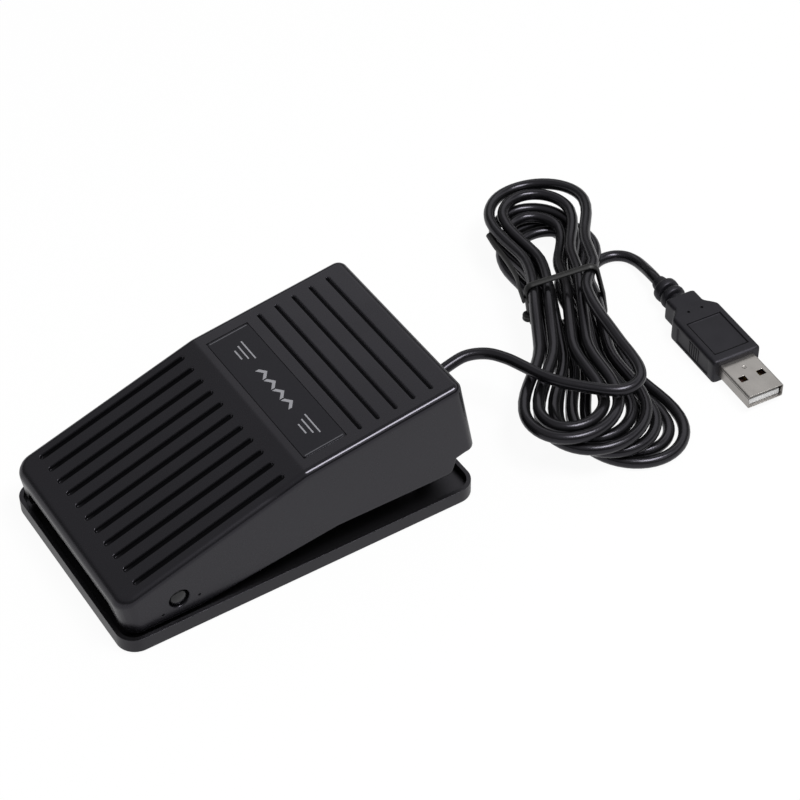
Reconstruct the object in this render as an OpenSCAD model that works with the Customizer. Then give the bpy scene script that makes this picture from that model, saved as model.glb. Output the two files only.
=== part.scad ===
// Foot pedal switch with a USB lead: a tilting cover on a shallow tray, millimetres, +Z up.
// Origin: middle of the tray on the floor. +Y points to the high rear end, where the lead leaves.

/* [Base tray] */
// Length of the tray, front to rear
base_l = 110; // [106:1:130]
// Width of the tray
base_w = 68; // [64:1:90]
// Height of the tray's rim above its underside
base_h = 4.5; // [4:0.5:8]
// Corner radius of the tray in plan
base_r = 5.7; // [4:0.1:9]
// Thickness of the rim
rim_t = 1.3; // [1:0.1:2]
// Thickness of the floor
floor_t = 2.2; // [1.8:0.1:2.6]
// How far the rubber feet stand below the tray
foot_proud = 0.6; // [0.4:0.1:1.5]
// Diameter of a rubber foot
foot_d = 9; // [6:0.5:12]

/* [Pedal cover] */
// Gap in plan from the tray's side to the cover's side wall
cover_side_inset = 2.2; // [2:0.1:4]
// Wall thickness of the cover
cover_t = 2.2; // [1.8:0.1:2.6]
// Radius of the cover's front corners in plan
cover_r = 5; // [4.5:0.1:7]
// Radius of the cover's rear corners in plan
rear_r = 3; // [2.5:0.1:6]
// Round along the cover's top edges
top_round = 2; // [1.5:0.1:2.3]
// Height of the level rear panel above the hinge, in the cover's own frame
panel_v = 18.5; // [16:0.5:24]
// Slope of the front panel against the rear panel, degrees
front_slope = 10; // [6:0.5:14]
// Distance from the hinge to the ridge between the two panels
ridge_u = 42.7; // [36:0.1:48]
// Distance from the hinge to the front wall
front_u = 16.3; // [14:0.1:16.4]
// Gap in plan from the tray's rear end to the cover's rear wall, before it tilts
rear_in = -0.9; // [-1.2:0.1:3]
// How far the rear wall leans in at its top
rear_lean = 1.2; // [0:0.1:3]
// Depth of the cover's straight lower edge below the hinge
edge_v = 7; // [6:0.1:8]
// Depth of the side skirt at its rear corner below the straight edge
skirt_drop = 5; // [3:0.1:5.2]
// Depth of a grip groove
groove_depth = 0.7; // [0.4:0.1:1]
// Width of a lengthwise groove in the front panel
front_groove_w = 1.9; // [1:0.1:2.5]
// Number of lengthwise grooves
front_grooves = 11; // [7:2:13]
// Spacing of the lengthwise grooves
front_groove_pitch = 5.46; // [4:0.01:5.5]
// Width of a crosswise groove in the rear panel
rear_groove_w = 1.6; // [1:0.1:2.5]
// Number of crosswise grooves
rear_grooves = 5; // [3:1:5]
// Distance from the rear wall to the last crosswise groove
rear_groove_end = 8.58; // [7:0.01:11]
// Half the length of a crosswise groove
rear_groove_half = 27.4; // [20:0.1:28]
// Length of the label across the panel
label_l = 53; // [40:1:55]
// Width of the label along the panel
label_w = 13.1; // [10:0.1:14]
// Thickness of the label
label_t = 0.4; // [0.2:0.1:0.6]

/* [Hinge] */
// Distance from the tray's front edge to the hinge axis
hinge_in = 17.6; // [17:0.1:19]
// Height of the hinge axis above the tray's underside
hinge_h = 10.5; // [10.2:0.1:12]
// Tilt of the cover at rest, degrees
rest_tilt = 8; // [7.8:0.1:9]
// Diameter of the hinge pin
pin_d = 4; // [3:0.1:4.5]
// Diameter of the pin's round head
pin_head_d = 5.2; // [5:0.1:6]
// Radial running clearance of the pin in the cover
pin_clear = 0.05; // [0.02:0.01:0.1]

/* [Spring] */
// Outer diameter of the return spring
spring_d = 10; // [8:0.5:12]
// Wire diameter of the return spring
spring_wire = 1; // [0.8:0.1:1.2]
// Number of curls
spring_curls = 9; // [6:1:10]
// Distance from the cover's rear wall to the spring's axis
spring_in = 32.8; // [31.3:0.5:33.3]

/* [Switch board] */
// Width of the circuit board
board_w = 42; // [40:1:46]
// Length of the circuit board
board_l = 30; // [28:1:32]
// Thickness of the circuit board
board_t = 1.6; // [1:0.1:2]
// Height of the board's posts above the floor
post_h = 3; // [2:0.1:4]
// Width of the light gate's slot
gate_slot = 3; // [2.6:0.1:3.6]
// Height of the light gate
gate_h = 10; // [9:0.1:10.5]
// Thickness of the shutter blade
shutter_t = 1.2; // [0.8:0.1:1.4]

/* [Lead] */
// Diameter of the lead
cable_d = 3.5; // [3:0.1:3.7]
// Upward tilt of the lead where it leaves, degrees
exit_tilt = 12; // [8:1:14]
// Height of the lead's axis above the tray's underside, at the gate post
exit_h = 10.9; // [10:0.1:11.5]
// Turns in each of the hank's four layers
layer_turns = 2; // [1:1:2]
// Spacing of the turns
turn_pitch = 4.2; // [4.1:0.05:4.3]

/* [Plug] */
// Width of the plug's moulded body
plug_w = 16.2; // [15:0.1:17]
// Thickness of the plug's moulded body
plug_h = 8.4; // [7.6:0.1:9]
// Width of the plug's metal shell
shell_w = 12; // [11.9:0.1:12.1]
// Height of the plug's metal shell
shell_h = 4.5; // [4.4:0.1:4.6]
// Length of the shell that shows
shell_l = 15; // [12:0.1:19]
// Thickness of the shell's sheet
shell_t = 0.3; // [0.2:0.05:0.4]

/* [Hidden] */
$fn = 64;
eps = 0.01;

// Clearances
fixed_clear = 0.02;
side_clear = 0.4;
head_clear = 0.3;
trim_clear = 0.1;
seat_gap = 0.3;
cord_gap = 0.3;

// Places on the tray
hinge_y = hinge_in - base_l / 2;
hinge_z = foot_proud + hinge_h;
rear_y = base_l / 2;
rear_u = base_l - hinge_in - rear_in;
cover_half = base_w / 2 - cover_side_inset;
inner_half = cover_half - cover_t;
foot_sink = 0.5;
foot_inset = 9;
foot_taper = 0.8;

// Hinge ears and pins
ear_t = 4.4;
ear_r = 5;
ear_x = inner_half - side_clear;
pin_head_t = 1;
pin_dome = 0.4;
mark_d = 0.8;
mark_u = 5.5;
mark_v = -2.5;
mark_depth = 0.3;

// Lower edge of the cover, in the hinge's own frame
relief_u = 5;
inner_round = 0.8;
front_lip_v = 2.6;
front_lip_half = 23.5;
front_lip_flare = 2.5;
front_step = 2;
skirt_l = 38.2;
skirt_in = 7.1;
skirt_heel = 2.2;
skirt_back = rear_u - skirt_in;
skirt_from = skirt_back - skirt_l;
skirt_to = skirt_back - skirt_heel;
skirt_round = 1.4;
deep_v = 16;
far_u = 140;

// Grooves and label
front_groove_end = 7;
front_groove_stop = 4.6;
rear_groove_first = 19.5;
rear_groove_pitch = (rear_u - rear_groove_end - ridge_u - rear_groove_first) / max(1, rear_grooves - 1);
label_from = 2.3;
label_r = 1;

// Return spring
spring_u = rear_u - spring_in;
spring_y = hinge_y + spring_u;
spring_pad_d = spring_d + 2;
spring_stub_d = spring_d - 2 * spring_wire - 1;
spring_stub_h = 3;
spring_pad_h = 3;
spring_base_z = foot_proud + floor_t;
pad_surface_u = (spring_u + (panel_v - cover_t) * sin(rest_tilt)) / cos(rest_tilt);
pad_surface_z = hinge_z + pad_surface_u * sin(rest_tilt) + (panel_v - cover_t) * cos(rest_tilt);
spring_pad_sink = 0.7;
spring_top_z = pad_surface_z - spring_pad_h + spring_pad_sink;

// Circuit board
board_back = 23.1;
board_y = spring_y - board_back;
board_z = foot_proud + floor_t + post_h;
board_top = board_z + board_t;
board_post_d = 6;
board_r = 1.5;
board_hole_d = 2.4;
board_hole_in = 3;
screw_d = 2;
screw_head_d = 4;
screw_head_h = 1.4;
slot_w = 0.6;
slot_deep = 0.5;
screw_spare = 0.8;
gate_in = 9;
gate_x = board_w / 2 - gate_in;
gate_arm = 4.5;
gate_depth = 6;
gate_floor = 2.5;
gate_u = board_y - hinge_y + 2.1;
shutter_reach = 1.3;
shutter_sink = 0.7;
header_size = [10, 6, 5];
header_in = 11;
header_at = [header_in - board_w / 2, board_y + 8];
header_t = 1;
wire_lift = 3;
wire_rise = 0.6;
wire_stub = 1.2;
wire_turn_y = board_y + 18;
wire_d = 1;
wire_pitch = 2;
wire_spread = 0.75;
wire_bend = [header_at[0], board_y + 26];
wire_step = [0.88, -1.33];

// Way out of the lead: a tilted axis through the gate post
gate_post_in = 9;
gate_post_y = rear_y - gate_post_in;
post_half_w = 7;
post_t = 4;
post_top = 7;
grommet_d = 8;
flange_d = 10.4;
flange_t = 1.6;
grommet_out = 13;
grommet_neck_d = 7.2;
grommet_tip_d = 5.2;
clamp_back = 7.5;
clamp_l = 5;
clamp_w = 18;
clamp_h = 3.2;
clamp_screw_x = 6.2;
clamp_screw_l = 6;
inner_run = 14.5;
notch_half = 4.8;
notch_v = 2.8;
notch_l = 24;
hook_x = 19;
hook_w = 6;
hook_t = 2.4;
hook_room = 1.6;
hook_hold = 1.4;
hook_lip_t = 2.4;
ledge_v = 7;
ledge_t = 2;
ledge_l = 3.4;
ledge_u = rear_u - cover_t - ledge_l;
ledge_top_v = ledge_v + ledge_t - edge_v;
hook_y = hinge_y + ledge_u * cos(rest_tilt) - ledge_top_v * sin(rest_tilt) - hook_room;
hook_lip = hook_room + hook_hold;
hook_lip_z = hinge_z + (ledge_u + hook_hold) * sin(rest_tilt) + ledge_top_v * cos(rest_tilt) + seat_gap;
hook_top = hook_lip_z + hook_lip_t;

// Route of the lead between the grommet and the hank, middle of the cord, from the tray's rear edge
lead_points = [for (p = [[-0.6, 12.5, 16.2], [-0.4, 18.2, 17.3], [2.4, 23.4, 17.8], [7.4, 26.8, 18.1],
    [13, 29, 18.2], [18.4, 31, 18.2], [23, 33.4, 18.2], [26.8, 36.4, 18.1], [30.4, 39.9, 18], [34.1, 43.8, 18],
    [36, 47.2, 18], [36, 51, 18], [34.1, 54.4, 18], [30.7, 56.3, 18.1], [25.6, 57.4, 18.2], [19.8, 58, 18.5],
    [13.6, 58.8, 18.9], [7, 60.1, 19.1], [0.4, 62.2, 19.2], [-6, 65.6, 19.2], [-11.8, 70.2, 19.2],
    [-17, 74.8, 18.9]]) p + [0, rear_y, 0]];
// Route of the tail between the hank and the plug
tail_points = [for (p = [[-21.2, 77.8, 2.7], [-24.8, 80.3, 2.4], [-28.1, 83.1, 2.1], [-29.8, 86.5, 1.9],
    [-29.5, 90.1, 1.9], [-27.2, 93, 2], [-23.6, 94.5, 2.2], [-18.4, 94.6, 2.9]]) p + [0, rear_y, 0]];

// Hank: middle of its far end on the floor, its direction, its runs and the fan of its layers at the waist
hank_at = [-68, 82.6 + rear_y];
hank_turn = -21.2;
far_arc_s = 24.5;
near_arc_s = 108;
waist_s = 52;
far_half = 14.6;
waist_half = 12.2;
near_half = 16.6;
waist_pitch = turn_pitch + 0.1;
hank_layers = 4;
hank_turns = hank_layers * layer_turns;
layer_gap = 4;
far_fan = [-5, -2];
near_fan = [-6.5, 7];
fan_reach = 16;
climb_half = 0.09;
drop_part = 0.2;
first_ring = 1;
rings_per_turn = 24;
hank_sides = 6;
tie_t = 0.9;
tie_w = 1.6;
tie_room = tie_t + cord_gap;
waist_reach = 24;

// Plug: middle of the body's front face and its direction
plug_at = [34, 90.3 + rear_y];
plug_turn = -4.5;
body_l = 22.5;
neck_l = 8.6;
neck_w = 10.4;
neck_h = 8;
boot_l = 11.5;
boot_d = 7.4;
boot_tip_d = 5.2;
boot_rib = 1.5;
boot_rib_gap = 1.3;
body_r = 2.4;
plug_z = plug_h / 2;
shell_in = 4;
tongue_t = 1.9;
tongue_w = shell_w - 4 * shell_t;
tongue_back = 1;
contact_w = 1;
contact_pitch = 2.3;
contact_t = 0.2;
contact_l = 8;
window = [2.3, 2.2];
window_x = 3.1;
window_y = 6.6;

// Vector helpers
function unit(v) = v / norm(v);
function mix(a, b, t) = a + (b - a) * t;
function ease(t) = (1 - cos(180 * min(1, max(0, t)))) / 2;
function plan(turn, at, s, n, z) =
    [at[0] + s * cos(turn) - n * sin(turn), at[1] + s * sin(turn) + n * cos(turn), z];

// The lead's own axis at the way out: along = distance outwards from the gate post
function exit_point(along) =
    [0, gate_post_y + along * cos(exit_tilt), foot_proud + exit_h + along * sin(exit_tilt)];

// Hank: half width of a run at s for a turn that lies m pitches inside the outermost
function run_half(s, m) = s < waist_s
    ? mix(far_half - turn_pitch * m, waist_half - waist_pitch * m,
          ease((s - far_arc_s) / (waist_s - far_arc_s)))
    : mix(waist_half - waist_pitch * m, near_half - turn_pitch * m,
          ease((s - waist_s) / (near_arc_s - waist_s)));
hank_phase = 0.25 * (near_arc_s - waist_s) / (near_arc_s - far_arc_s);
function turn_part(t) = t + hank_phase - floor(t + hank_phase);
function turn_depth(t) = let (layer = min(hank_layers - 1, floor(t / layer_turns)),
    part = t - layer * layer_turns) layer % 2 == 0 ? part : layer_turns - part;
function layers_down(t, k = 1) = k >= hank_layers ? 0
    : ease((t - k * layer_turns + climb_half) / (2 * climb_half)) + layers_down(t, k + 1);
function hank_s(t) = let (f = turn_part(t), m = turn_depth(t))
    f < 0.25 ? mix(near_arc_s, far_arc_s, f * 4)
    : f < 0.5 ? far_arc_s - (far_half - turn_pitch * m) * sin(720 * (f - 0.25))
    : f < 0.75 ? mix(far_arc_s, near_arc_s, (f - 0.5) * 4)
    : near_arc_s + (near_half - turn_pitch * m) * sin(720 * (f - 0.75));
function hank_n(t) = let (f = turn_part(t), m = turn_depth(t))
    f < 0.25 ? run_half(hank_s(t), m)
    : f < 0.5 ? (far_half - turn_pitch * m) * cos(720 * (f - 0.25))
    : f < 0.75 ? -run_half(hank_s(t), m)
    : -(near_half - turn_pitch * m) * cos(720 * (f - 0.75));
low_layer = cable_d / 2 + 0.05;
function fan_at(s, part) = mix(mix(far_fan[0], far_fan[1], part), mix(near_fan[0], near_fan[1], part),
    ease((s - waist_s) / (2 * fan_reach) + 0.5));
function hank_z(t) = low_layer + layer_gap * (hank_layers - 1 - layers_down(t))
    + layer_gap * (1 - ease((t - first_ring / rings_per_turn) / drop_part))
    + tie_room * ease(1 - abs(hank_s(t) - waist_s) / waist_reach);
function hank_point(t) = let (s = hank_s(t), fan = fan_at(s, layers_down(t) / (hank_layers - 1)))
    plan(hank_turn, hank_at, s, hank_n(t) + (s - waist_s) * tan(fan), hank_z(t));
hank_points = [for (i = [first_ring : hank_turns * rings_per_turn]) hank_point(i / rings_per_turn)];
hank_last = len(hank_points) - 1;
hank_in = unit(hank_points[1] - hank_points[0]);
hank_out = unit(hank_points[hank_last] - hank_points[hank_last - 1]);

// Least gap of the hank to itself, measured on points four times as close as its rings
fine = [for (i = [first_ring * 4 : hank_turns * rings_per_turn * 4]) hank_point(i / rings_per_turn / 4)];
apart = rings_per_turn;
hank_gap = min([for (i = [0 : len(fine) - 1 - apart]) for (j = [i + apart : 2 : len(fine) - 1])
    norm(fine[i] - fine[j])]) - cable_d;

// Route with a straight stretch of one diameter at both ends
function route(from, from_dir, points, to, to_dir, d) =
    concat([from, from + from_dir * d], points, [to - to_dir * d, to]);
exit_dir = [0, cos(exit_tilt), sin(exit_tilt)];
boot_back = body_l + neck_l + boot_l;
boot_end = plan(plug_turn, plug_at, -boot_back, 0, plug_z);
plug_dir = [cos(plug_turn), sin(plug_turn), 0];
lead_route = route(exit_point(grommet_out), exit_dir, lead_points, hank_points[0], hank_in, cable_d);
tail_route = route(hank_points[hank_last], hank_out, tail_points, boot_end, plug_dir, cable_d);

function path_length(p) = len(p) < 2 ? 0 : [for (i = 0, s = 0; i < len(p); i = i + 1,
    s = i < len(p) ? s + norm(p[i] - p[i - 1]) : s) s][len(p) - 1];
echo(hank_gap = hank_gap, lead = path_length(lead_route), hank = path_length(fine),
     tail = path_length(tail_route));

// Swept tube: a ring of sides at each point, square to the way the points run
function along(p, i) = unit(p[min(i + 1, len(p) - 1)] - p[max(i - 1, 0)]);
function tube_ring(c, dir, r, sides) =
    let (side = unit(cross(dir, [0, 0, 1])), up = cross(side, dir))
    [for (k = [0 : sides - 1]) let (a = 360 * (k + 0.5) / sides) c + r * (cos(a) * side + sin(a) * up)];
module tube(p, d, sides, first_dir = undef, last_dir = undef) {
    last = len(p) - 1;
    rings = [for (i = [0 : last]) for (q = tube_ring(p[i],
        i == 0 && first_dir != undef ? first_dir : i == last && last_dir != undef ? last_dir : along(p, i),
        d / 2, sides)) q];
    walls = [for (i = [0 : last - 1]) for (k = [0 : sides - 1])
        let (a = i * sides + k, b = i * sides + (k + 1) % sides)
        each [[a, a + sides, b], [b, a + sides, b + sides]]];
    caps = [for (k = [1 : sides - 2]) each [[0, k, k + 1],
        [last * sides, last * sides + k + 1, last * sides + k]]];
    polyhedron(points = rings, faces = concat(walls, caps));
}

// Shared shapes
module rounded_plan(size, r) {
    square([size[0] - 2 * r, size[1]], center = true);
    square([size[0], size[1] - 2 * r], center = true);
    for (x = [-1, 1], y = [-1, 1])
        translate([x * (size[0] / 2 - r), y * (size[1] / 2 - r)]) circle(r);
}
module on_tray() translate([0, 0, foot_proud]) children();
module in_cover() translate([0, hinge_y, hinge_z]) rotate([rest_tilt, 0, 0]) children();
module on_exit() translate([0, gate_post_y, exit_h]) rotate([exit_tilt, 0, 0]) children();
module in_plug() translate([plug_at[0], plug_at[1], plug_z]) rotate([0, 0, plug_turn]) children();
module crosswise(length) rotate([90, 0, 90]) translate([0, 0, -length / 2]) linear_extrude(length) children();
module screw(head_d, head_h, shank_d, shank_l) {
    translate([0, 0, -shank_l]) cylinder(d = shank_d, h = shank_l + eps);
    difference() {
        cylinder(d = head_d, h = head_h);
        for (a = [0, 90]) rotate(a) translate([-head_d, -slot_w / 2, head_h - slot_deep])
            cube([2 * head_d, slot_w, head_h]);
    }
}

// Tray
module ear(side) {
    x0 = side > 0 ? ear_x - ear_t : -ear_x;
    difference() {
        translate([x0, hinge_y, 0]) rotate([90, 0, 90]) linear_extrude(ear_t) {
            translate([0, hinge_h]) circle(ear_r);
            translate([-ear_r, 0]) square([2 * ear_r, hinge_h]);
        }
        translate([x0 - 1, hinge_y, hinge_h]) rotate([0, 90, 0])
            cylinder(d = pin_d + 2 * fixed_clear, h = ear_t + 2);
    }
}
module hook(side) translate([side * hook_x - hook_w / 2, 0, 0]) {
    translate([0, hook_y - hook_t, 0]) cube([hook_w, hook_t, hook_top - foot_proud]);
    translate([0, hook_y - eps, hook_lip_z - foot_proud]) cube([hook_w, hook_lip + eps, hook_lip_t]);
}
module under_floor() translate([-base_w, -base_l, -base_l])
    cube([2 * base_w, 2 * base_l, base_l + floor_t / 2]);
module cable_post() {
    post_low = exit_h + floor_t;
    difference() {
        on_exit() translate([-post_half_w, -post_t / 2, -post_low])
            cube([2 * post_half_w, post_t, post_low + post_top]);
        on_exit() rotate([90, 0, 0]) cylinder(d = grommet_d + 2 * fixed_clear, h = 3 * post_t, center = true);
        under_floor();
    }
    difference() {
        on_exit() translate([-clamp_w / 2, -clamp_back - clamp_l, -exit_h]) cube([clamp_w, clamp_l, exit_h]);
        on_exit() rotate([90, 0, 0]) cylinder(d = cable_d + 2 * fixed_clear, h = 6 * clamp_back, center = true);
        for (x = [-1, 1]) on_exit() translate([x * clamp_screw_x, -clamp_back - clamp_l / 2, -clamp_screw_l])
            cylinder(d = screw_d + 2 * fixed_clear, h = 3 * clamp_screw_l);
        under_floor();
    }
}
module board_post_places() for (x = [-1, 1], y = [-1, 1])
    translate([x * (board_w / 2 - board_hole_in), board_y + y * (board_l / 2 - board_hole_in), 0]) children();
module foot_places() for (x = [-1, 1], y = [-1, 1])
    translate([x * (base_w / 2 - foot_inset), y * (base_l / 2 - foot_inset), 0]) children();
module base_tray() color([0.13, 0.13, 0.135]) on_tray() {
    difference() {
        linear_extrude(base_h) rounded_plan([base_w, base_l], base_r);
        translate([0, 0, floor_t]) linear_extrude(base_h)
            rounded_plan([base_w - 2 * rim_t, base_l - 2 * rim_t], base_r - rim_t);
        foot_places() translate([0, 0, -eps]) cylinder(d = foot_d, h = foot_sink + eps);
    }
    translate([0, 0, floor_t - eps]) {
        translate([0, spring_y, 0]) cylinder(d = spring_stub_d, h = spring_stub_h);
        board_post_places() difference() {
            cylinder(d = board_post_d, h = post_h + eps);
            translate([0, 0, screw_spare / 2]) cylinder(d = screw_d + 2 * fixed_clear, h = post_h + 1);
        }
    }
    difference() {
        for (side = [-1, 1]) {
            ear(side);
            hook(side);
        }
        under_floor();
    }
    cable_post();
}
module rubber_feet() color([0.08, 0.08, 0.08]) foot_places() {
    cylinder(d1 = foot_d - foot_taper, d2 = foot_d - 2 * trim_clear, h = foot_proud);
    translate([0, 0, foot_proud - eps]) cylinder(d = foot_d - 2 * trim_clear, h = foot_sink + eps);
}

// Hinge pins: a domed head in the cover's round recess, the shank in the tray's ear
module pivot_pin(side) color([0.2, 0.2, 0.21]) translate([0, hinge_y, hinge_z]) rotate([0, side * 90, 0]) {
    head_top = cover_half - pin_dome;
    translate([0, 0, ear_x - ear_t]) cylinder(d = pin_d, h = head_top - pin_head_t - ear_x + ear_t + eps);
    translate([0, 0, head_top - pin_head_t]) cylinder(d = pin_head_d, h = pin_head_t);
    dome_r = (pow(pin_head_d / 2, 2) + pow(pin_dome, 2)) / (2 * pin_dome);
    intersection() {
        translate([0, 0, head_top - eps]) cylinder(d = pin_head_d, h = pin_dome);
        translate([0, 0, head_top + pin_dome - dome_r]) sphere(dome_r, $fn = 128);
    }
}
module pivot_pin_left() pivot_pin(-1);
module pivot_pin_right() pivot_pin(1);

// Cover, drawn in its own level frame: u runs rearwards and v upwards from the hinge axis
function front_v(u) = panel_v - (ridge_u - u) * tan(front_slope);
module corner_ring(r, edge) rotate_extrude($fn = 48) intersection() {
    translate([r - edge, 0]) circle(edge, $fn = 32);
    translate([0, -edge]) square([r, 2 * edge]);
}
module cover_form(wall, edge) {
    half = cover_half - wall;
    front_r = max(cover_r - wall, edge + 2 * eps);
    back_r = max(rear_r - wall, edge + 2 * eps);
    rear_top = rear_u - rear_lean - wall;
    drop = edge + wall;
    front = wall + front_r - front_u;
    hull() {
        for (x = [-1, 1]) {
            translate([x * (half - back_r), rear_top - back_r, panel_v - drop]) corner_ring(back_r, edge);
            translate([x * (half - edge), ridge_u, panel_v - drop]) sphere(edge, $fn = 32);
            translate([x * (half - front_r), front, front_v(front) - drop / cos(front_slope)])
                rotate([front_slope, 0, 0]) corner_ring(front_r, edge);
            translate([x * (half - back_r), rear_u - wall - back_r, -deep_v])
                cylinder(r = back_r, h = 1, $fn = 48);
            translate([x * (half - front_r), front, -deep_v]) cylinder(r = front_r, h = 1, $fn = 48);
        }
    }
}
module below_edge() crosswise(2 * base_w) {
    front_edge_v = (front_u + relief_u) * tan(rest_tilt) - edge_v;
    skirt_v = -edge_v - skirt_drop;
    difference() {
        polygon([[-far_u, -far_u], [-far_u, front_edge_v], [-front_u, front_edge_v], [relief_u, -edge_v],
                 [far_u, -edge_v], [far_u, -far_u]]);
        polygon([[skirt_from, eps - edge_v], [skirt_to - skirt_round, skirt_v], [skirt_to, skirt_v],
                 [skirt_back - skirt_round, skirt_v + skirt_round], [skirt_back, eps - edge_v]]);
    }
}
// Under the lip of the front edge the wall is set back between the corners
module front_step_cut() {
    low_half = front_lip_half + front_lip_flare;
    low_v = -front_lip_flare / 2;
    translate([0, front_step - front_u, 0]) rotate([90, 0, 0]) linear_extrude(2 * front_step)
        polygon([[-low_half, -deep_v], [-low_half, low_v], [-front_lip_half, front_lip_v],
                 [front_lip_half, front_lip_v], [low_half, low_v], [low_half, -deep_v]]);
}
module front_step_wall() translate([-front_lip_half - 2 * front_lip_flare, front_step - front_u, -deep_v])
    cube([2 * front_lip_half + 4 * front_lip_flare, cover_t,
          front_v(front_step - front_u) - cover_t / 2 + deep_v]);
module stadium(length, width) {
    square([length - width, width], center = true);
    for (x = [-1, 1]) translate([x * (length - width) / 2, 0]) circle(width / 2, $fn = 24);
}
module front_groove_cuts() {
    u0 = -front_u + front_groove_end;
    u1 = ridge_u - front_groove_stop;
    length = (u1 - u0) / cos(front_slope);
    for (i = [0 : front_grooves - 1])
        translate([(i - (front_grooves - 1) / 2) * front_groove_pitch, (u0 + u1) / 2, front_v((u0 + u1) / 2)])
            rotate([front_slope, 0, 0]) translate([0, 0, -groove_depth]) linear_extrude(groove_depth + 1)
                rotate(90) stadium(length, front_groove_w);
}
module rear_groove_cuts() for (i = [0 : rear_grooves - 1])
    translate([0, ridge_u + rear_groove_first + i * rear_groove_pitch, panel_v - groove_depth])
        linear_extrude(groove_depth + 1) stadium(2 * rear_groove_half, rear_groove_w);
module label_place(grow) translate([0, ridge_u + label_from + label_w / 2, panel_v - label_t])
    linear_extrude(label_t + 10 * grow)
        rounded_plan([label_l + 2 * grow, label_w + 2 * grow], label_r + grow);
module rear_notch() translate([0, rear_u - notch_l / 2, notch_v - notch_half]) {
    translate([-notch_half, 0, -deep_v]) cube([2 * notch_half, notch_l, deep_v]);
    rotate([-90, 0, 0]) cylinder(r = notch_half, h = notch_l);
}
module cover_inside() {
    shutter_low = (board_top + gate_h - shutter_reach - hinge_z - gate_u * sin(rest_tilt)) / cos(rest_tilt);
    translate([gate_x - shutter_t / 2, gate_u - gate_depth / 2, shutter_low])
        cube([shutter_t, gate_depth, min(panel_v, front_v(gate_u)) - shutter_sink * cover_t - shutter_low]);
    for (side = [-1, 1]) translate([side * hook_x - hook_w / 2 - 1, ledge_u, ledge_v - edge_v])
        cube([hook_w + 2, ledge_l + cover_t / 2, ledge_t]);
}
module pedal_cover() color([0.15, 0.15, 0.155]) {
    in_cover() difference() {
        union() {
            difference() {
                cover_form(0, top_round);
                cover_form(cover_t, inner_round);
            }
            cover_inside();
            front_step_wall();
        }
        below_edge();
        front_step_cut();
        front_groove_cuts();
        rear_groove_cuts();
        label_place(trim_clear);
        rear_notch();
        rotate([0, 90, 0]) cylinder(d = pin_d + 2 * pin_clear, h = 2 * base_w, center = true);
        for (side = [-1, 1]) {
            translate([side * (cover_half - pin_head_t - pin_dome - seat_gap), 0, 0]) rotate([0, side * 90, 0])
                cylinder(d = pin_head_d + 2 * head_clear, h = 5);
            for (u = [-1, 1]) translate([side * (cover_half - mark_depth), u * mark_u, mark_v])
                rotate([0, side * 90, 0]) cylinder(d = mark_d, h = 2, $fn = 24);
        }
    }
    translate([0, spring_y, spring_top_z]) intersection() {
        cylinder(d = spring_pad_d, h = spring_pad_h + 2);
        translate([0, -spring_y, -spring_top_z]) in_cover() translate([-base_w / 2, 0, 0])
            cube([base_w, far_u, panel_v - cover_t / 2]);
    }
    translate([0, spring_y, spring_top_z - spring_stub_h]) cylinder(d = spring_stub_d, h = spring_stub_h + eps);
}
module label_plate() color([0.06, 0.06, 0.07]) in_cover() label_place(0);

// Return spring: one wire, closed by a flat half turn at each end
spring_mean = (spring_d - spring_wire) / 2;
spring_seat = 0.1;
spring_run = spring_top_z - spring_base_z - spring_wire - 2 * spring_seat;
function spring_z(t) = spring_base_z + spring_wire / 2 + spring_seat + spring_run * ease_ends(t / spring_curls);
function ease_ends(t) = mix(t, ease(t), 0.12);
module return_spring() color([0.7, 0.7, 0.72])
    tube([for (i = [0 : spring_curls * 8]) let (a = i * 45)
        [spring_mean * cos(a), spring_y + spring_mean * sin(a), spring_z(i / 8)]], spring_wire, 6);

// Circuit board and what sits on it
module circuit_board() color([0.1, 0.32, 0.16]) translate([0, board_y, board_z]) difference() {
    linear_extrude(board_t) rounded_plan([board_w, board_l], board_r);
    translate([0, -board_y, -1]) board_post_places() cylinder(d = board_hole_d, h = board_t + 2);
}
module light_gate() color([0.09, 0.09, 0.1])
    translate([gate_x, hinge_y + gate_u * cos(rest_tilt), board_top]) difference() {
        translate([-gate_arm - gate_slot / 2, -gate_depth / 2, 0])
            cube([2 * gate_arm + gate_slot, gate_depth, gate_h]);
        translate([-gate_slot / 2, -gate_depth, gate_floor]) cube([gate_slot, 2 * gate_depth, gate_h]);
    }
chip_at = [-4, -3];
chip_size = [10, 4, 1.5];
chip_lift = 0.2;
chip_pitch = 1.2;
chip_leg = [0.4, 1.1, 0.5];
module controller_chip() color([0.07, 0.07, 0.08]) translate([chip_at[0], board_y + chip_at[1], board_top]) {
    translate([-chip_size[0] / 2, -chip_size[1] / 2, chip_lift]) cube(chip_size);
    for (i = [-3.5 : 1 : 3.5], turn = [0, 180])
        rotate(turn) translate([i * chip_pitch - chip_leg[0] / 2, chip_size[1] / 2 - chip_lift / 2, 0])
            cube(chip_leg);
}
crystal_at = [6 - board_w / 2, -1];
crystal_size = [10.5, 4.4, 3.5];
module crystal_can() color([0.75, 0.75, 0.77]) translate([crystal_at[0], board_y + crystal_at[1], board_top])
    rotate(90) linear_extrude(crystal_size[2]) stadium(crystal_size[0], crystal_size[1]);
passive_places = [[-2, 4], [2, 4], [6, -9], [2, -9], [-2, -9], [-6, -9], [header_at[0] + 2, 3],
                  [gate_x - 2, -6], [gate_x + 2, -6]];
passive_size = [2, 1.2, 0.7];
module board_passives() color([0.55, 0.45, 0.32])
    for (p = passive_places) translate([p[0], board_y + p[1], board_top + passive_size[2] / 2])
        cube(passive_size, center = true);
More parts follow.
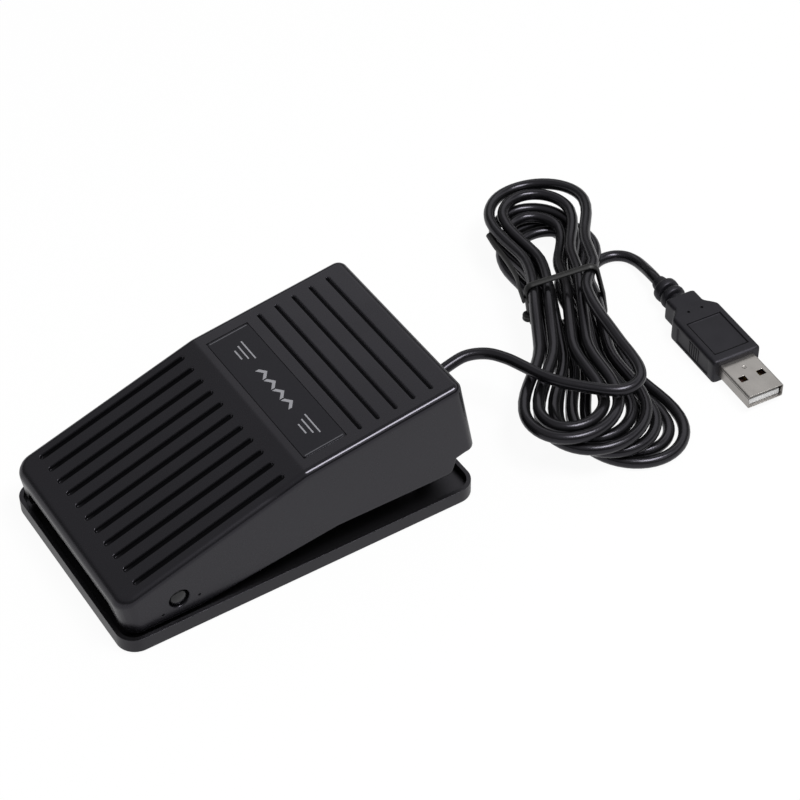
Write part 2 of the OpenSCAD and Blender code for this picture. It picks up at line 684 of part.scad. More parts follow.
module wire_header() color([0.85, 0.83, 0.76])
    translate([header_at[0] - header_size[0] / 2, header_at[1] - header_size[1] / 2, board_top]) difference() {
        cube(header_size);
        translate([header_t, header_t, 2 * header_t])
            cube([header_size[0] - 2 * header_t, header_size[1], header_size[2]]);
    }
inner_end = exit_point(-inner_run - fixed_clear);
module inner_wires() color([0.75, 0.2, 0.15]) for (i = [0 : 3]) {
    x = header_at[0] + (i - 1.5) * wire_pitch;
    up = wire_spread * (i % 2 == 0 ? -1 : 1);
    side = [wire_spread * (i < 2 ? -1 : 1), -up * sin(exit_tilt), up * cos(exit_tilt)];
    plug_in = [x, header_at[1] - header_size[1] / 2 + header_t, board_top + wire_lift];
    bend = [wire_bend[0] + (i - 1.5) * wire_step[0], wire_bend[1] + (i - 1.5) * wire_step[1],
            plug_in[2] + wire_rise];
    stub = exit_dir * wire_stub * (i < 2 ? 1 : 2);
    tube([inner_end + side, inner_end + side - stub, bend, [x, wire_turn_y, plug_in[2] + wire_rise / 3],
          plug_in + [0, 4 * header_t, 0], plug_in], wire_d, 6, -exit_dir, [0, -1, 0]);
}
module board_screws() color([0.7, 0.7, 0.72]) board_post_places() translate([0, 0, board_top])
    screw(screw_head_d, screw_head_h, screw_d, board_t + post_h - screw_spare);

// Way out of the lead
module cable_clamp() color([0.16, 0.16, 0.17]) on_tray() on_exit() difference() {
    translate([-clamp_w / 2, -clamp_back - clamp_l, 0]) cube([clamp_w, clamp_l, clamp_h]);
    rotate([90, 0, 0]) cylinder(d = cable_d + 2 * fixed_clear, h = 6 * clamp_back, center = true);
    for (x = [-1, 1]) translate([x * clamp_screw_x, -clamp_back - clamp_l / 2, -1])
        cylinder(d = screw_d + 2 * trim_clear, h = 2 * clamp_h);
}
module clamp_screws() color([0.7, 0.7, 0.72]) on_tray() on_exit()
    for (x = [-1, 1]) translate([x * clamp_screw_x, -clamp_back - clamp_l / 2, clamp_h])
        screw(screw_head_d, screw_head_h, screw_d, clamp_h + clamp_screw_l - screw_spare);
module cable_grommet() color([0.1, 0.1, 0.1]) on_tray() on_exit() rotate([-90, 0, 0]) rotate_extrude() {
    bore = cable_d / 2 + fixed_clear;
    half = post_t / 2;
    rim = half + flange_t;
    polygon([[bore, -rim], [flange_d / 2, -rim], [flange_d / 2, -half], [grommet_d / 2, -half],
             [grommet_d / 2, half], [flange_d / 2, half], [flange_d / 2, rim], [grommet_neck_d / 2, rim],
             [grommet_tip_d / 2, grommet_out], [bore, grommet_out]]);
}
module cable_inner() color([0.09, 0.09, 0.09]) on_tray() on_exit() rotate([90, 0, 0])
    translate([0, 0, -grommet_out]) cylinder(d = cable_d, h = grommet_out + inner_run);

// Free lead
module cable_lead() color([0.09, 0.09, 0.09]) tube(lead_route, cable_d, 8, exit_dir, hank_in);
module cable_hank() color([0.09, 0.09, 0.09]) tube(hank_points, cable_d, hank_sides, hank_in, hank_out);
module cable_tail() color([0.09, 0.09, 0.09]) tube(tail_route, cable_d, 8, hank_out, plug_dir);

// Twist tie: a flat band round the waist of the hank and over the lead, with a knot and a free end
tie_hold = cable_d / 2 + cord_gap;
tie_s = waist_s + 4;
tie_spread = 0.9;
tie_left_n = waist_pitch / 2 - waist_half - cord_gap - tie_spread;
tie_right_n = waist_half + tie_spread;
tie_low = low_layer + tie_room;
tie_high = tie_low + (hank_layers - 1) * layer_gap;
tie_lead = [9.1, tie_high + layer_gap + cord_gap];
tie_end = [-32, -5.5, -6];
tie_knot_d = 2.4;
tie_corners = [[tie_left_n, tie_low], [tie_right_n, tie_low], [tie_left_n, tie_high], [tie_right_n, tie_high],
               tie_lead];
module tie_outline(grow) hull() for (p = tie_corners) translate(p) circle(tie_hold + grow, $fn = 32);
module cable_tie() color([0.05, 0.05, 0.05])
    translate(plan(hank_turn, hank_at, tie_s, 0, 0)) rotate(hank_turn) {
        translate([-tie_w / 2, 0, 0]) rotate([90, 0, 90]) linear_extrude(tie_w) difference() {
            tie_outline(tie_t);
            tie_outline(0);
        }
        translate([0, tie_left_n - tie_w / 2, tie_high + tie_hold]) {
            translate([0, 0, tie_t]) rotate([0, 90, 0]) cylinder(d = tie_knot_d, h = 2 * tie_w, center = true);
            hull() {
                translate([-tie_w, 0, tie_t / 2]) cube([1, tie_w, tie_t], center = true);
                translate(tie_end) cube([1, tie_w, tie_t], center = true);
            }
        }
    }

// Plug, drawn along +X from the front face of its body
module plug_block(from, length, width, height, r) translate([from, 0, 0]) rotate([90, 0, 90])
    linear_extrude(length) rounded_plan([width, height], r);
module plug_body() color([0.12, 0.12, 0.125]) in_plug() difference() {
    union() {
        plug_block(-body_l, body_l, plug_w, plug_h, body_r);
        plug_block(-body_l - neck_l, neck_l + eps, neck_w, neck_h, body_r);
    }
    translate([-shell_in, -shell_w / 2 - fixed_clear, -shell_h / 2 - fixed_clear])
        cube([shell_in + 1, shell_w + 2 * fixed_clear, shell_h + 2 * fixed_clear]);
}
module plug_boot() color([0.1, 0.1, 0.1]) in_plug() translate([-body_l - neck_l, 0, 0]) rotate([0, -90, 0]) {
    cylinder(d = boot_tip_d, h = boot_l);
    ribs = floor((boot_l - boot_rib_gap) / (boot_rib + boot_rib_gap));
    for (i = [0 : ribs - 1]) translate([0, 0, i * (boot_rib + boot_rib_gap)])
        cylinder(d = boot_d, h = boot_rib);
}
module plug_shell() color([0.78, 0.78, 0.78]) in_plug() difference() {
    plug_block(-shell_in, shell_in + shell_l, shell_w, shell_h, 2 * shell_t);
    plug_block(-shell_in + 1, shell_in + shell_l, shell_w - 2 * shell_t, shell_h - 2 * shell_t, shell_t);
    for (x = [-1, 1]) translate([window_y, x * window_x - window[0] / 2, -shell_h])
        cube([window[1], window[0], 2 * shell_h]);
}
module plug_tongue() color([0.9, 0.9, 0.88]) in_plug()
    translate([-shell_in + 1, -tongue_w / 2, -shell_h / 2 + shell_t + fixed_clear])
        cube([shell_in + shell_l - 1 - tongue_back, tongue_w, tongue_t]);
module plug_contacts() color([0.85, 0.7, 0.35]) in_plug() for (i = [-1.5 : 1 : 1.5])
    translate([shell_l - tongue_back - contact_l - 1, i * contact_pitch - contact_w / 2,
               -shell_h / 2 + shell_t + fixed_clear + tongue_t])
        cube([contact_l, contact_w, contact_t]);

base_tray();
rubber_feet();
pivot_pin_left();
pivot_pin_right();
circuit_board();
light_gate();
controller_chip();
crystal_can();
board_passives();
wire_header();
inner_wires();
board_screws();
cable_clamp();
clamp_screws();
cable_grommet();
cable_inner();
return_spring();
pedal_cover();
label_plate();
cable_lead();
cable_hank();
cable_tail();
cable_tie();
plug_boot();
plug_body();
plug_shell();
plug_tongue();
plug_contacts();
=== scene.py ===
"""Foot pedal switch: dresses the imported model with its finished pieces, finishes and stage."""

import math

import bmesh
import bpy
import numpy as np
from bpy.props import FloatProperty, FloatVectorProperty, IntProperty, PointerProperty
from bpy.types import Operator, Panel, PropertyGroup
from mathutils import Matrix, Vector


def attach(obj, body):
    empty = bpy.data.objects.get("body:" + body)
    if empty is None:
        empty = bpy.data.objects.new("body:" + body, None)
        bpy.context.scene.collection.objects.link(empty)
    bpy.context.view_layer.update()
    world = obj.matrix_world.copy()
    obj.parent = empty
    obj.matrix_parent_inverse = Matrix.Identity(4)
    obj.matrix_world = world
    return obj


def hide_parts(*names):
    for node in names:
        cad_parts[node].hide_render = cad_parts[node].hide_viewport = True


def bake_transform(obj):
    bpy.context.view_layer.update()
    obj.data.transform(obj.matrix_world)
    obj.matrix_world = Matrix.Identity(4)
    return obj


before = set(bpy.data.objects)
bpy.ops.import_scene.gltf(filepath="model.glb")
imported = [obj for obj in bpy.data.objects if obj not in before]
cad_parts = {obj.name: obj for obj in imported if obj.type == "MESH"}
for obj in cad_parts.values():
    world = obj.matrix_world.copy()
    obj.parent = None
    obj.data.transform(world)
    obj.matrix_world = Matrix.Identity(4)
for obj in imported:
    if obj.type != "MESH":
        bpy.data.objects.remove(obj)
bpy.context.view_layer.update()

bl_info = {
    "name": "Foot pedal switch",
    "version": (1, 0, 0),
    "blender": (4, 5, 0),
    "location": "View3D > Sidebar > Pedal",
    "description": "Builds the pieces and finishes of a hinged foot pedal with its lead and plug",
    "category": "Object",
}

MM = 0.001
QUARTER = math.pi / 2
DONE = {"FINISHED"}

# Places shared with the solids, in millimetres. In the cover's frame u runs to the rear and v upwards.
HINGE = Vector((0.0, -37.4, 11.1))
TILT = math.radians(8.0)
IN_COVER = Matrix.Translation(HINGE) @ Matrix.Rotation(TILT, 4, "X")
COVER_HALF = 31.8
FRONT_U, REAR_U, RIDGE_U = 16.3, 93.3, 42.7
REAR_TOP_U = REAR_U - 1.2
FRONT_R, REAR_R = 5.0, 3.0
LIP_V, LIP_HALF, LIP_FLARE, LIP_STEP = 2.6, 23.5, 2.5, 2.0
PANEL_V, EDGE_V = 18.5, 7.0
FRONT_SLOPE = math.tan(math.radians(10.0))
# The rear wall leans back below LEAN_V.
EXIT_HOLE_R, REAR_LEAN, LEAN_V = 4.8, 1.2 / 32.5, 16.5
# Grooves: spacing, half width and reach of the lengthwise and the crosswise ones.
FRONT_PITCH, FRONT_HALF, FRONT_ENDS = 5.46, 0.95, (-9.3, 38.1)
REAR_FIRST, REAR_PITCH, REAR_HALF, REAR_REACH = RIDGE_U + 19.5, 5.63, 0.62, 26.6
# Label: half its length and width, its corner, its thickness and its place.
LABEL_L, LABEL_W, LABEL_R, LABEL_T = 26.5, 6.55, 1.0, 0.4
ON_LABEL = IN_COVER @ Matrix.Translation((0, 51.55, PANEL_V))
RECESS_HALF, RECESS_LOW, RECESS_HIGH = 26.61, 44.89, 58.21
SPRING_Y, SPRING_LOW, SPRING_TOP = 23.1, 2.8, 33.6
BOARD_TOP = 7.4
# The lead leaves along the local Z axis of ON_EXIT.
EXIT = Vector((0.0, 46.0, 11.5))
EXIT_TILT = math.radians(12.0)
EXIT_WAY = Vector((0, math.cos(EXIT_TILT), math.sin(EXIT_TILT)))
EXIT_REACH = 13.0
ON_EXIT = Matrix.Translation(EXIT) @ Matrix.Rotation(EXIT_TILT - QUARTER, 4, "X")
PLUG = Vector((34.0, 145.3, 4.2))
PLUG_TURN = math.radians(-4.5)
IN_PLUG = Matrix.Translation(PLUG) @ Matrix.Rotation(PLUG_TURN, 4, "Z")
BOOT_START, BOOT_END = -31.1, -42.6
HANK, HANK_TURN, WAIST, TIE = (-68.0, 137.6), math.radians(-21.2), 52.0, 60.0

COOL = (0.90, 0.87, 1.0)
LENGTH = {"subtype": "DISTANCE", "unit": "LENGTH", "precision": 5}
COLOUR = {"subtype": "COLOR", "size": 3, "min": 0, "max": 1}


class CoverSizes(PropertyGroup):
    """Sizes of the tilting cover that can be changed without moving its hinge."""

    wall: FloatProperty(name="Wall", description="Thickness of the cover's walls", default=0.0022,
                        min=0.001, max=0.004, **LENGTH)
    top_round: FloatProperty(name="Top round", description="Radius along the top side and rear edges", default=0.002,
                             min=0.001, max=0.0025, **LENGTH)
    front_round: FloatProperty(name="Front round", description="Radius along the top front edge", default=0.003,
                               min=0.001, max=0.004, **LENGTH)
    groove_depth: FloatProperty(name="Groove depth", description="Depth of the grip grooves", default=0.0009,
                                min=0.0002, max=0.0012, **LENGTH)
    front_grooves: IntProperty(name="Lengthwise grooves", description="Grooves in the front panel", default=11,
                               min=1, max=13)
    rear_grooves: IntProperty(name="Crosswise grooves", description="Grooves in the rear panel", default=5,
                              min=1, max=5)
    hem: FloatProperty(name="Hem round", description="Radius along the lower edge", default=0.0007,
                       min=0.0002, max=0.001, **LENGTH)


class LeadSizes(PropertyGroup):
    """Sizes of the lead and its hank."""

    diameter: FloatProperty(name="Diameter", description="Diameter of the lead", default=0.0035,
                            min=0.003, max=0.0037, **LENGTH)
    turns: IntProperty(name="Turns", description="Turns in each of the hank's four layers", default=2, min=1, max=2)
    pitch: FloatProperty(name="Pitch", description="Spacing of the turns", default=0.0042,
                         min=0.0041, max=0.0043, **LENGTH)


class PedalColours(PropertyGroup):
    """Colours of the main finishes."""

    cover: FloatVectorProperty(name="Cover", description="Black of the cover",
                               default=(0.0045, 0.0044, 0.0052), **COLOUR)
    tray: FloatVectorProperty(name="Tray", description="Black of the tray",
                              default=(0.0042, 0.0041, 0.0044), **COLOUR)
    jacket: FloatVectorProperty(name="Lead", description="Black of the lead's jacket",
                                default=(0.0035, 0.0035, 0.0038), **COLOUR)
    moulding: FloatVectorProperty(name="Plug", description="Black of the plug's moulding",
                                  default=(0.0055, 0.0055, 0.0068), **COLOUR)
    nickel: FloatVectorProperty(name="Nickel", description="Plating of the plug's shell",
                                default=(0.46, 0.44, 0.42), **COLOUR)


def maths(operation, swapped=False):
    """A method that adds one maths node to the tree of its wire."""
    def method(self, *others):
        terms = (*others, self) if swapped else (self, *others)
        return self.net.add("ShaderNodeMath", {"operation": operation}, dict(enumerate(terms)))
    return method


class Wire:
    """An output socket that takes part in sums, so that shader maths reads as plain expressions."""

    def __init__(self, net, socket):
        self.net = net
        self.socket = socket

    __add__ = __radd__ = maths("ADD")
    __sub__, __rsub__ = maths("SUBTRACT"), maths("SUBTRACT", True)
    __mul__ = __rmul__ = maths("MULTIPLY")
    __abs__ = maths("ABSOLUTE")
    least, most = maths("MINIMUM"), maths("MAXIMUM")
    # Distance to the nearest multiple of twice the value given.
    pingpong = maths("PINGPONG")

    def ramp(self, low, high):
        """0 below low and 1 above high, with a soft step between; low may be the larger."""
        if low > high:
            return 1 - self.ramp(high, low)
        return self.net.add("ShaderNodeMapRange", {"interpolation_type": "SMOOTHSTEP"},
                            {0: self, 1: low, 2: high, 3: 0.0, 4: 1.0})


class Net:
    """A node tree that is cleared and then filled by one method."""

    def __init__(self, tree):
        self.tree = tree
        tree.nodes.clear()

    def add(self, kind, settings=None, inputs=None, output=0):
        node = self.tree.nodes.new(kind)
        for key, value in (settings or {}).items():
            setattr(node, key, value)
        for key, value in (inputs or {}).items():
            if isinstance(value, Wire):
                self.tree.links.new(value.socket, node.inputs[key])
            else:
                node.inputs[key].default_value = value
        return Wire(self, node.outputs[output]) if len(node.outputs) else node

    def parts(self, vector):
        node = self.add("ShaderNodeSeparateXYZ", None, {0: vector}).socket.node
        return [Wire(self, out) for out in node.outputs]

    def rays(self):
        """Two switches: one for rays from the camera, one for mirrored and refracted rays."""
        path = self.tree.nodes.new("ShaderNodeLightPath")
        seen, glossy, through = (Wire(self, path.outputs[f"Is {kind} Ray"])
                                 for kind in ("Camera", "Glossy", "Transmission"))
        return seen, glossy.most(through)


class Finish(Net):
    """A material whose surface is one principled shader, mixed where asked with a darker diffuse that paints shade."""

    SOCKETS = {"base": "Base Color", "rough": "Roughness", "metal": "Metallic", "normal": "Normal", "ior": "IOR",
               "tint": "Specular Tint"}

    def __init__(self, name):
        self.material = bpy.data.materials.new(name)
        self.material.use_nodes = True
        super().__init__(self.material.node_tree)
        self.place = self.add("ShaderNodeTexCoord", output="Object")

    def noise(self, size_mm, detail=2.0, rough=0.5, place=None, distortion=0.0):
        """Cloudy value whose features are about size_mm across."""
        return self.add("ShaderNodeTexNoise", None, {
            "Vector": place or self.place, "Scale": 1 / (size_mm * MM), "Detail": detail,
            "Roughness": rough, "Distortion": distortion})

    def moved(self, matrix_mm, stretch=(1, 1, 1)):
        """Coordinates in a piece's own frame, given by its place in millimetres."""
        inverse = matrix_mm.inverted()
        return self.add("ShaderNodeMapping", None, {
            "Vector": self.place, "Location": [v * MM * s for v, s in zip(inverse.to_translation(), stretch)],
            "Rotation": inverse.to_euler(), "Scale": stretch})

    def split(self, vector):
        """The three parts of a place, in millimetres."""
        return [part * (1 / MM) for part in self.parts(vector)]

    def blend(self, mask, a, b):
        return self.add("ShaderNodeMix", {"data_type": "RGBA"}, {0: mask, 6: as_colour(a), 7: as_colour(b)}, 2)

    def mottled(self, value, low, high, colour, share):
        """A colour that falls to a share of itself as the value rises from low to high."""
        return self.blend(value.ramp(low, high), colour, [c * share for c in colour])

    def bump(self, height, depth_mm, strength, below=None):
        inputs = {"Height": height, "Distance": depth_mm * MM, "Strength": strength}
        if below:
            inputs["Normal"] = below
        return self.add("ShaderNodeBump", None, inputs)

    def surface(self, matt_painted_shade=None, **values):
        inputs = {self.SOCKETS[k]: as_colour(v) if k in ("base", "tint") else v for k, v in values.items()}
        shader = self.add("ShaderNodeBsdfPrincipled", None, inputs)
        # The mask mixes in a darker diffuse without gloss: painted shade for grooves and sunk lines.
        if matt_painted_shade:
            painted_shade_diffuse = self.add("ShaderNodeBsdfDiffuse", None, {"Color": (0.0016, 0.0016, 0.0018, 1)})
            shader = self.add("ShaderNodeMixShader", None, {0: matt_painted_shade, 1: shader, 2: painted_shade_diffuse})
        self.add("ShaderNodeOutputMaterial", None, {"Surface": shader})
        return self.material


def as_colour(value):
    return value if isinstance(value, Wire) else (*value[:3], 1.0)


def circle(count):
    """Angles of equal steps round a circle."""
    return [2 * math.pi * k / count for k in range(count)]


def clip(t):
    return min(1, max(0, t))


def ease(t):
    return (1 - math.cos(math.pi * clip(t))) / 2


def mix(a, b, t):
    return a + (b - a) * t


class Shape:
    """Collects the points, in millimetres, and the faces of one piece."""

    def __init__(self):
        self.points = []
        self.faces = []

    def add(self, points, faces, matrix=None):
        base = len(self.points)
        self.points += [tuple(matrix @ Vector(p)) if matrix else tuple(p) for p in points]
        self.faces += [[base + i for i in f] for f in faces]

    def rings(self, rings, matrix=None, loop=False):
        """Joins closed rings of equal counts into a skin, with caps unless it is a loop."""
        count = len(rings[0])
        points = [p for ring in rings for p in ring]
        faces = []
        for k in range(len(rings) if loop else len(rings) - 1):
            a, b = k * count, (k + 1) % len(rings) * count
            faces += [[a + i, a + (i + 1) % count, b + (i + 1) % count, b + i] for i in range(count)]
        if not loop:
            faces += [list(range(count))[::-1], list(range(len(points) - count, len(points)))]
        self.add(points, faces, matrix)

    def lathe(self, profile, matrix, segments=48, loop=False):
        """Turns (radius, height) pairs round the local Z axis."""
        self.rings([[(max(r, 0.002) * math.cos(a), max(r, 0.002) * math.sin(a), h) for a in circle(segments)]
                    for r, h in profile], matrix, loop)

    def box(self, low, high, round_mm=0.3, matrix=None, steps=3):
        """Block between two corners with rounded edges."""
        bm = bmesh.new()
        bmesh.ops.create_cube(bm, size=1.0)
        for v in bm.verts:
            v.co = [l + (h - l) * (c + 0.5) for l, h, c in zip(low, high, v.co)]
        if round_mm:
            bmesh.ops.bevel(bm, geom=list(bm.edges), offset=round_mm, segments=steps, profile=0.5, affect="EDGES")
        bm.verts.index_update()
        self.add([v.co.copy() for v in bm.verts], [[v.index for v in f.verts] for f in bm.faces], matrix)
        bm.free()

    def sweep(self, path, outline, across=None, loop=False):
        """Carries an outline of (across, out) pairs along points, without twist unless the directions are given."""
        path = [Vector(p) for p in path]
        count = len(path)
        rings, side = [], None
        for i, p in enumerate(path):
            before = path[i - 1 if loop else max(i - 1, 0)]
            way = (path[(i + 1) % count if loop else min(i + 1, count - 1)] - before).normalized()
            if across:
                side = Vector(across[i])
            elif side is None:
                side = way.orthogonal()
            side = (side - way * side.dot(way)).normalized()
            out = side.cross(way)
            rings.append([p + side * a + out * b for a, b in outline])
        self.rings(rings, loop=loop)

    def tube(self, path, radius):
        self.sweep(path, [(radius * math.cos(a), radius * math.sin(a)) for a in circle(12)])

    def mesh(self, name):
        data = bpy.data.meshes.new(name)
        data.from_pydata([[c * MM for c in p] for p in self.points], [], self.faces)
        bm = bmesh.new()
        bm.from_mesh(data)
        bmesh.ops.remove_doubles(bm, verts=bm.verts, dist=2e-6)
        bmesh.ops.recalc_face_normals(bm, faces=bm.faces)
        bm.to_mesh(data)
        bm.free()
        return data

    def piece(self, name, angle=None):
        """An object of this shape, smoothed if an angle is given."""
        piece = show(name, self.mesh(name))
        return smooth(piece, angle) if angle else piece


def show(name, data):
    item = bpy.data.objects.new(name, data)
    bpy.context.scene.collection.objects.link(item)
    return item


def settle(piece):
    """Turns what the modifiers give into the piece's own mesh."""
    graph = bpy.context.evaluated_depsgraph_get()
    data = bpy.data.meshes.new_from_object(piece.evaluated_get(graph), preserve_all_data_layers=True, depsgraph=graph)
    piece.modifiers.clear()
    old, piece.data = piece.data, data
    if old.users == 0:
        bpy.data.meshes.remove(old)
    return piece


def smooth(piece, angle):
    """Smooth faces with creases past an angle, and normals that keep large faces flat."""
    piece.data.shade_smooth()
    piece.data.set_sharp_from_angle(angle=math.radians(angle))
    piece.modifiers.new("Even shade", "WEIGHTED_NORMAL").keep_sharp = True
    return settle(piece)


def carve(piece, shape, overlapping=False):
    """Cuts a shape out of a piece."""
    cutter = shape.piece("cutter")
    modifier = piece.modifiers.new("Carve", "BOOLEAN")
    modifier.object = cutter
    modifier.solver = "EXACT"
    modifier.use_self = overlapping
    settle(piece)
    bpy.data.objects.remove(cutter)
    return piece


def dress(piece, material, body, *nodes):
    """Gives a finished piece its finish, its body if one is named, and hides the solids that it stands for."""
    piece.data.materials.clear()
    piece.data.materials.append(material)
    for polygon in piece.data.polygons:
        polygon.material_index = 0
    if body:
        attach(piece, body)
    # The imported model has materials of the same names, so a finish's own name may end in a number.
    material.name.split(".")[0]
    if nodes:
        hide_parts(*nodes)


def in_metres(matrix):
    matrix = matrix.copy()
    matrix.translation *= MM
    return matrix


def rounded_copy(node, round_mm, rim=None, rim_mm=0.0):
    """Copy of a solid's mesh with its creases rounded; those that pass the rim's test are rounded first, by rim_mm."""
    bm = bmesh.new()
    bm.from_mesh(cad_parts[node].data)
    bmesh.ops.remove_doubles(bm, verts=bm.verts, dist=1e-6)
    bmesh.ops.dissolve_limit(bm, angle_limit=math.radians(0.8), verts=bm.verts, edges=bm.edges)

    def creased(edges):
        return [e for e in edges if e.is_valid and e.is_manifold and e.calc_face_angle(0) > math.radians(40.0)]

    def bevel(edges, radius, steps):
        if edges:
            bmesh.ops.bevel(bm, geom=edges, offset=radius * MM, segments=steps, profile=0.5, affect="EDGES",
                            clamp_overlap=True)

    rest = creased(bm.edges)
    if rim:
        chosen = [rim(*[v.co / MM for v in e.verts]) for e in rest]
        others = [e for e, first in zip(rest, chosen) if not first]
        bevel([e for e, first in zip(rest, chosen) if first], rim_mm, 4)
        rest = creased(others)
    bevel(rest, round_mm, 3)
    data = bpy.data.meshes.new(node + "_piece")
    bm.to_mesh(data)
    bm.free()
    return smooth(show(node + "_piece", data), 50.0)


def spline(points, steps):
    """Points of a smooth curve through the given ones (centripetal)."""
    pts = [Vector(p) for p in points]
    pts = [pts[0] * 2 - pts[1], *pts, pts[-1] * 2 - pts[-2]]
    out = []
    for a, b, c, d in zip(pts, pts[1:], pts[2:], pts[3:]):
        t1 = (b - a).length ** 0.5
        t2 = t1 + (c - b).length ** 0.5
        t3 = t2 + (d - c).length ** 0.5
        for k in range(steps):
            t = mix(t1, t2, k / steps)
            p = a.lerp(b, t / t1)
            q = b.lerp(c, (t - t1) / (t2 - t1))
            r = c.lerp(d, (t - t2) / (t3 - t2))
            out.append(p.lerp(q, t / t2).lerp(q.lerp(r, (t - t1) / (t3 - t1)), (t - t1) / (t2 - t1)))
    return out + [pts[-2]]


def grown(name, material, sizes, build):
    """A piece made by a node tree; build gets the net and a wire for each named size, and returns the geometry."""
    tree = bpy.data.node_groups.new(name, "GeometryNodeTree")
    face = tree.interface
    face.new_socket(name="Geometry", in_out="INPUT", socket_type="NodeSocketGeometry")
    sockets = [face.new_socket(name=word, in_out="INPUT", socket_type="NodeSocketFloat") for word in sizes]
    face.new_socket(name="Geometry", in_out="OUTPUT", socket_type="NodeSocketGeometry")
    net = Net(tree)
    given = tree.nodes.new("NodeGroupInput")
    geometry = build(net, *[Wire(net, given.outputs[word]) for word in sizes])
    solid = net.add("GeometryNodeRealizeInstances", None, {"Geometry": geometry})
    painted = net.add("GeometryNodeSetMaterial", None, {"Geometry": solid, "Material": material})
    tree.links.new(painted.socket, tree.nodes.new("NodeGroupOutput").inputs[0])
    piece = show(name, bpy.data.meshes.new(name))
    modifier = piece.modifiers.new("Grow", "NODES")
    modifier.node_group = tree
    for socket, size in zip(sockets, sizes.values()):
        modifier[socket.identifier] = size
    settle(piece)
    bpy.data.node_groups.remove(tree)
    return piece


def repeat_on_grid(name, prototype, spread, centre, counts, material):
    """One mesh of a prototype set on the points of a grid."""
    def build(net, width, depth):
        grid = net.add("GeometryNodeMeshGrid", None, {
            "Size X": width, "Size Y": depth, "Vertices X": counts[0], "Vertices Y": counts[1]})
        placed = net.add("GeometryNodeTransform", None, {"Geometry": grid, "Translation": [c * MM for c in centre]})
        source = net.add("GeometryNodeObjectInfo", None, {"Object": prototype}, "Geometry")
        return net.add("GeometryNodeInstanceOnPoints", None, {"Points": placed, "Instance": source})

    piece = grown(name, material, {"Spread X": spread[0] * MM, "Spread Y": spread[1] * MM}, build)
    bpy.data.objects.remove(prototype)
    return piece


def cover_finish(colours, sizes):
    """Black moulded plastic: satin gloss, fine spark texture, faint handling marks, painted shade in the grooves and a
    painted highlight on the rear lips.
    """
    f = Finish("cover_plastic")
    x, u, v = f.split(f.moved(IN_COVER))
    cloud = f.noise(26, 3)
    smear = f.noise(9, 4, 0.6, distortion=0.6)
    spark = f.noise(0.28, 2, 0.6)
    cells = f.add("ShaderNodeTexVoronoi", None, {"Vector": f.place, "Scale": 1 / (1.7 * MM)})
    speck = cells.ramp(0.10, 0.04)
    base = f.mottled(cloud, 0.35, 0.7, colours.cover, 0.82)
    base = f.blend(speck * 0.35, base, (0.02, 0.02, 0.021))
    edge = abs(x).ramp(29.6, 30.2) * v.ramp(16.0, 16.6)
    rough = (0.21 + cloud * 0.05 + smear * 0.06 + speck * 0.1) * (1 - edge * 0.5)
    first = (sizes.front_grooves - 1) / 2 * FRONT_PITCH
    last = REAR_FIRST + (sizes.rear_grooves - 1) * REAR_PITCH
    top = v.ramp(8, 9)
    front = (x + first).pingpong(FRONT_PITCH / 2).ramp(0.84, 0.66) * abs(x).ramp(first + 0.9, first + 0.8)
    front = front * (u + 9.0).least(37.8 - u).ramp(0.0, 0.3)
    inside = abs(x).ramp(27.2, 26.9) * (u - REAR_FIRST + 1).least(last + 1 - u).ramp(0.0, 0.2) * top
    rear = (u - REAR_FIRST + 0.12).pingpong(REAR_PITCH / 2).ramp(0.46, 0.3) * inside
    # Painted highlight: a lighter colour along the rear lip of each crosswise groove.
    lip = (u - REAR_FIRST - 0.5).pingpong(REAR_PITCH / 2).ramp(0.2, 0.08) * inside
    base = f.blend(lip, base, (0.035, 0.034, 0.039))
    # The grooves take painted shade: where their masks are high the surface turns to a darker diffuse.
    return f.surface(base=base, rough=rough, ior=1.5, tint=COOL, normal=f.bump(spark, 0.012, 0.3),
                     matt_painted_shade=front.most(rear) * top * 0.9)


def tray_finish(colours):
    """Black moulded plastic of the tray: flatter gloss, with flow marks."""
    f = Finish("tray_plastic")
    flow = f.noise(14, 4, 0.6, distortion=1.2)
    return f.surface(base=f.mottled(flow, 0.3, 0.75, colours.tray, 0.75), rough=0.30 + flow * 0.10, ior=1.48,
                     tint=COOL, normal=f.bump(f.noise(0.3, 2, 0.6), 0.014, 0.3))


def label_finish():
    """Dark film with pale end rules and a plain row of pointing bars."""
    f = Finish("label_film")
    x, y, _ = f.split(f.add("ShaderNodeUVMap", {"uv_map": "LabelPlan"}))
    fine = f.noise(0.5, 3)
    ends = abs(x).ramp(25.55, 25.65) * abs(x).ramp(25.95, 25.85) * abs(y).ramp(6.0, 5.9)
    marks = []
    for k in range(4):
        off = abs(x - (k - 1.5) * 4.6)
        marks.append(abs(off * 0.75 + y - 1.1).ramp(0.62, 0.52) * off.ramp(2.1, 2.0))
    for middle in (-17.2, 17.2):
        for k, reach in enumerate((4.1, 3.1, 2.1)):
            marks.append(abs(y - 1.6 + 1.6 * k).ramp(0.24, 0.16) * abs(x - middle).ramp(reach, reach - 0.1))
    mark = marks[0]
    for other in marks[1:]:
        mark = mark.most(other)
    base = f.blend(f.noise(12, 2), (0.0045, 0.0046, 0.0058), (0.0062, 0.0063, 0.0076))
    base = f.blend(ends * 0.8, base, (0.10, 0.10, 0.11))
    base = f.blend(mark * (0.72 + fine * 0.2), base, (0.30, 0.30, 0.32))
    return f.surface(base=base, rough=0.30 + fine * 0.10 + mark * 0.12, ior=1.4, tint=COOL,
                     normal=f.bump(fine + mark * 0.6, 0.01, 0.3))


def rubber_finish(name, colour):
    """Matt black rubber, dusty in its pores."""
    f = Finish(name)
    dust = f.noise(3.5, 4, 0.6)
    base = f.blend(dust.ramp(0.45, 0.8) * 0.5, colour, (0.022, 0.021, 0.020))
    return f.surface(base=base, rough=0.58 + dust * 0.2, ior=1.48, normal=f.bump(f.noise(0.25, 3, 0.65), 0.02, 0.5))


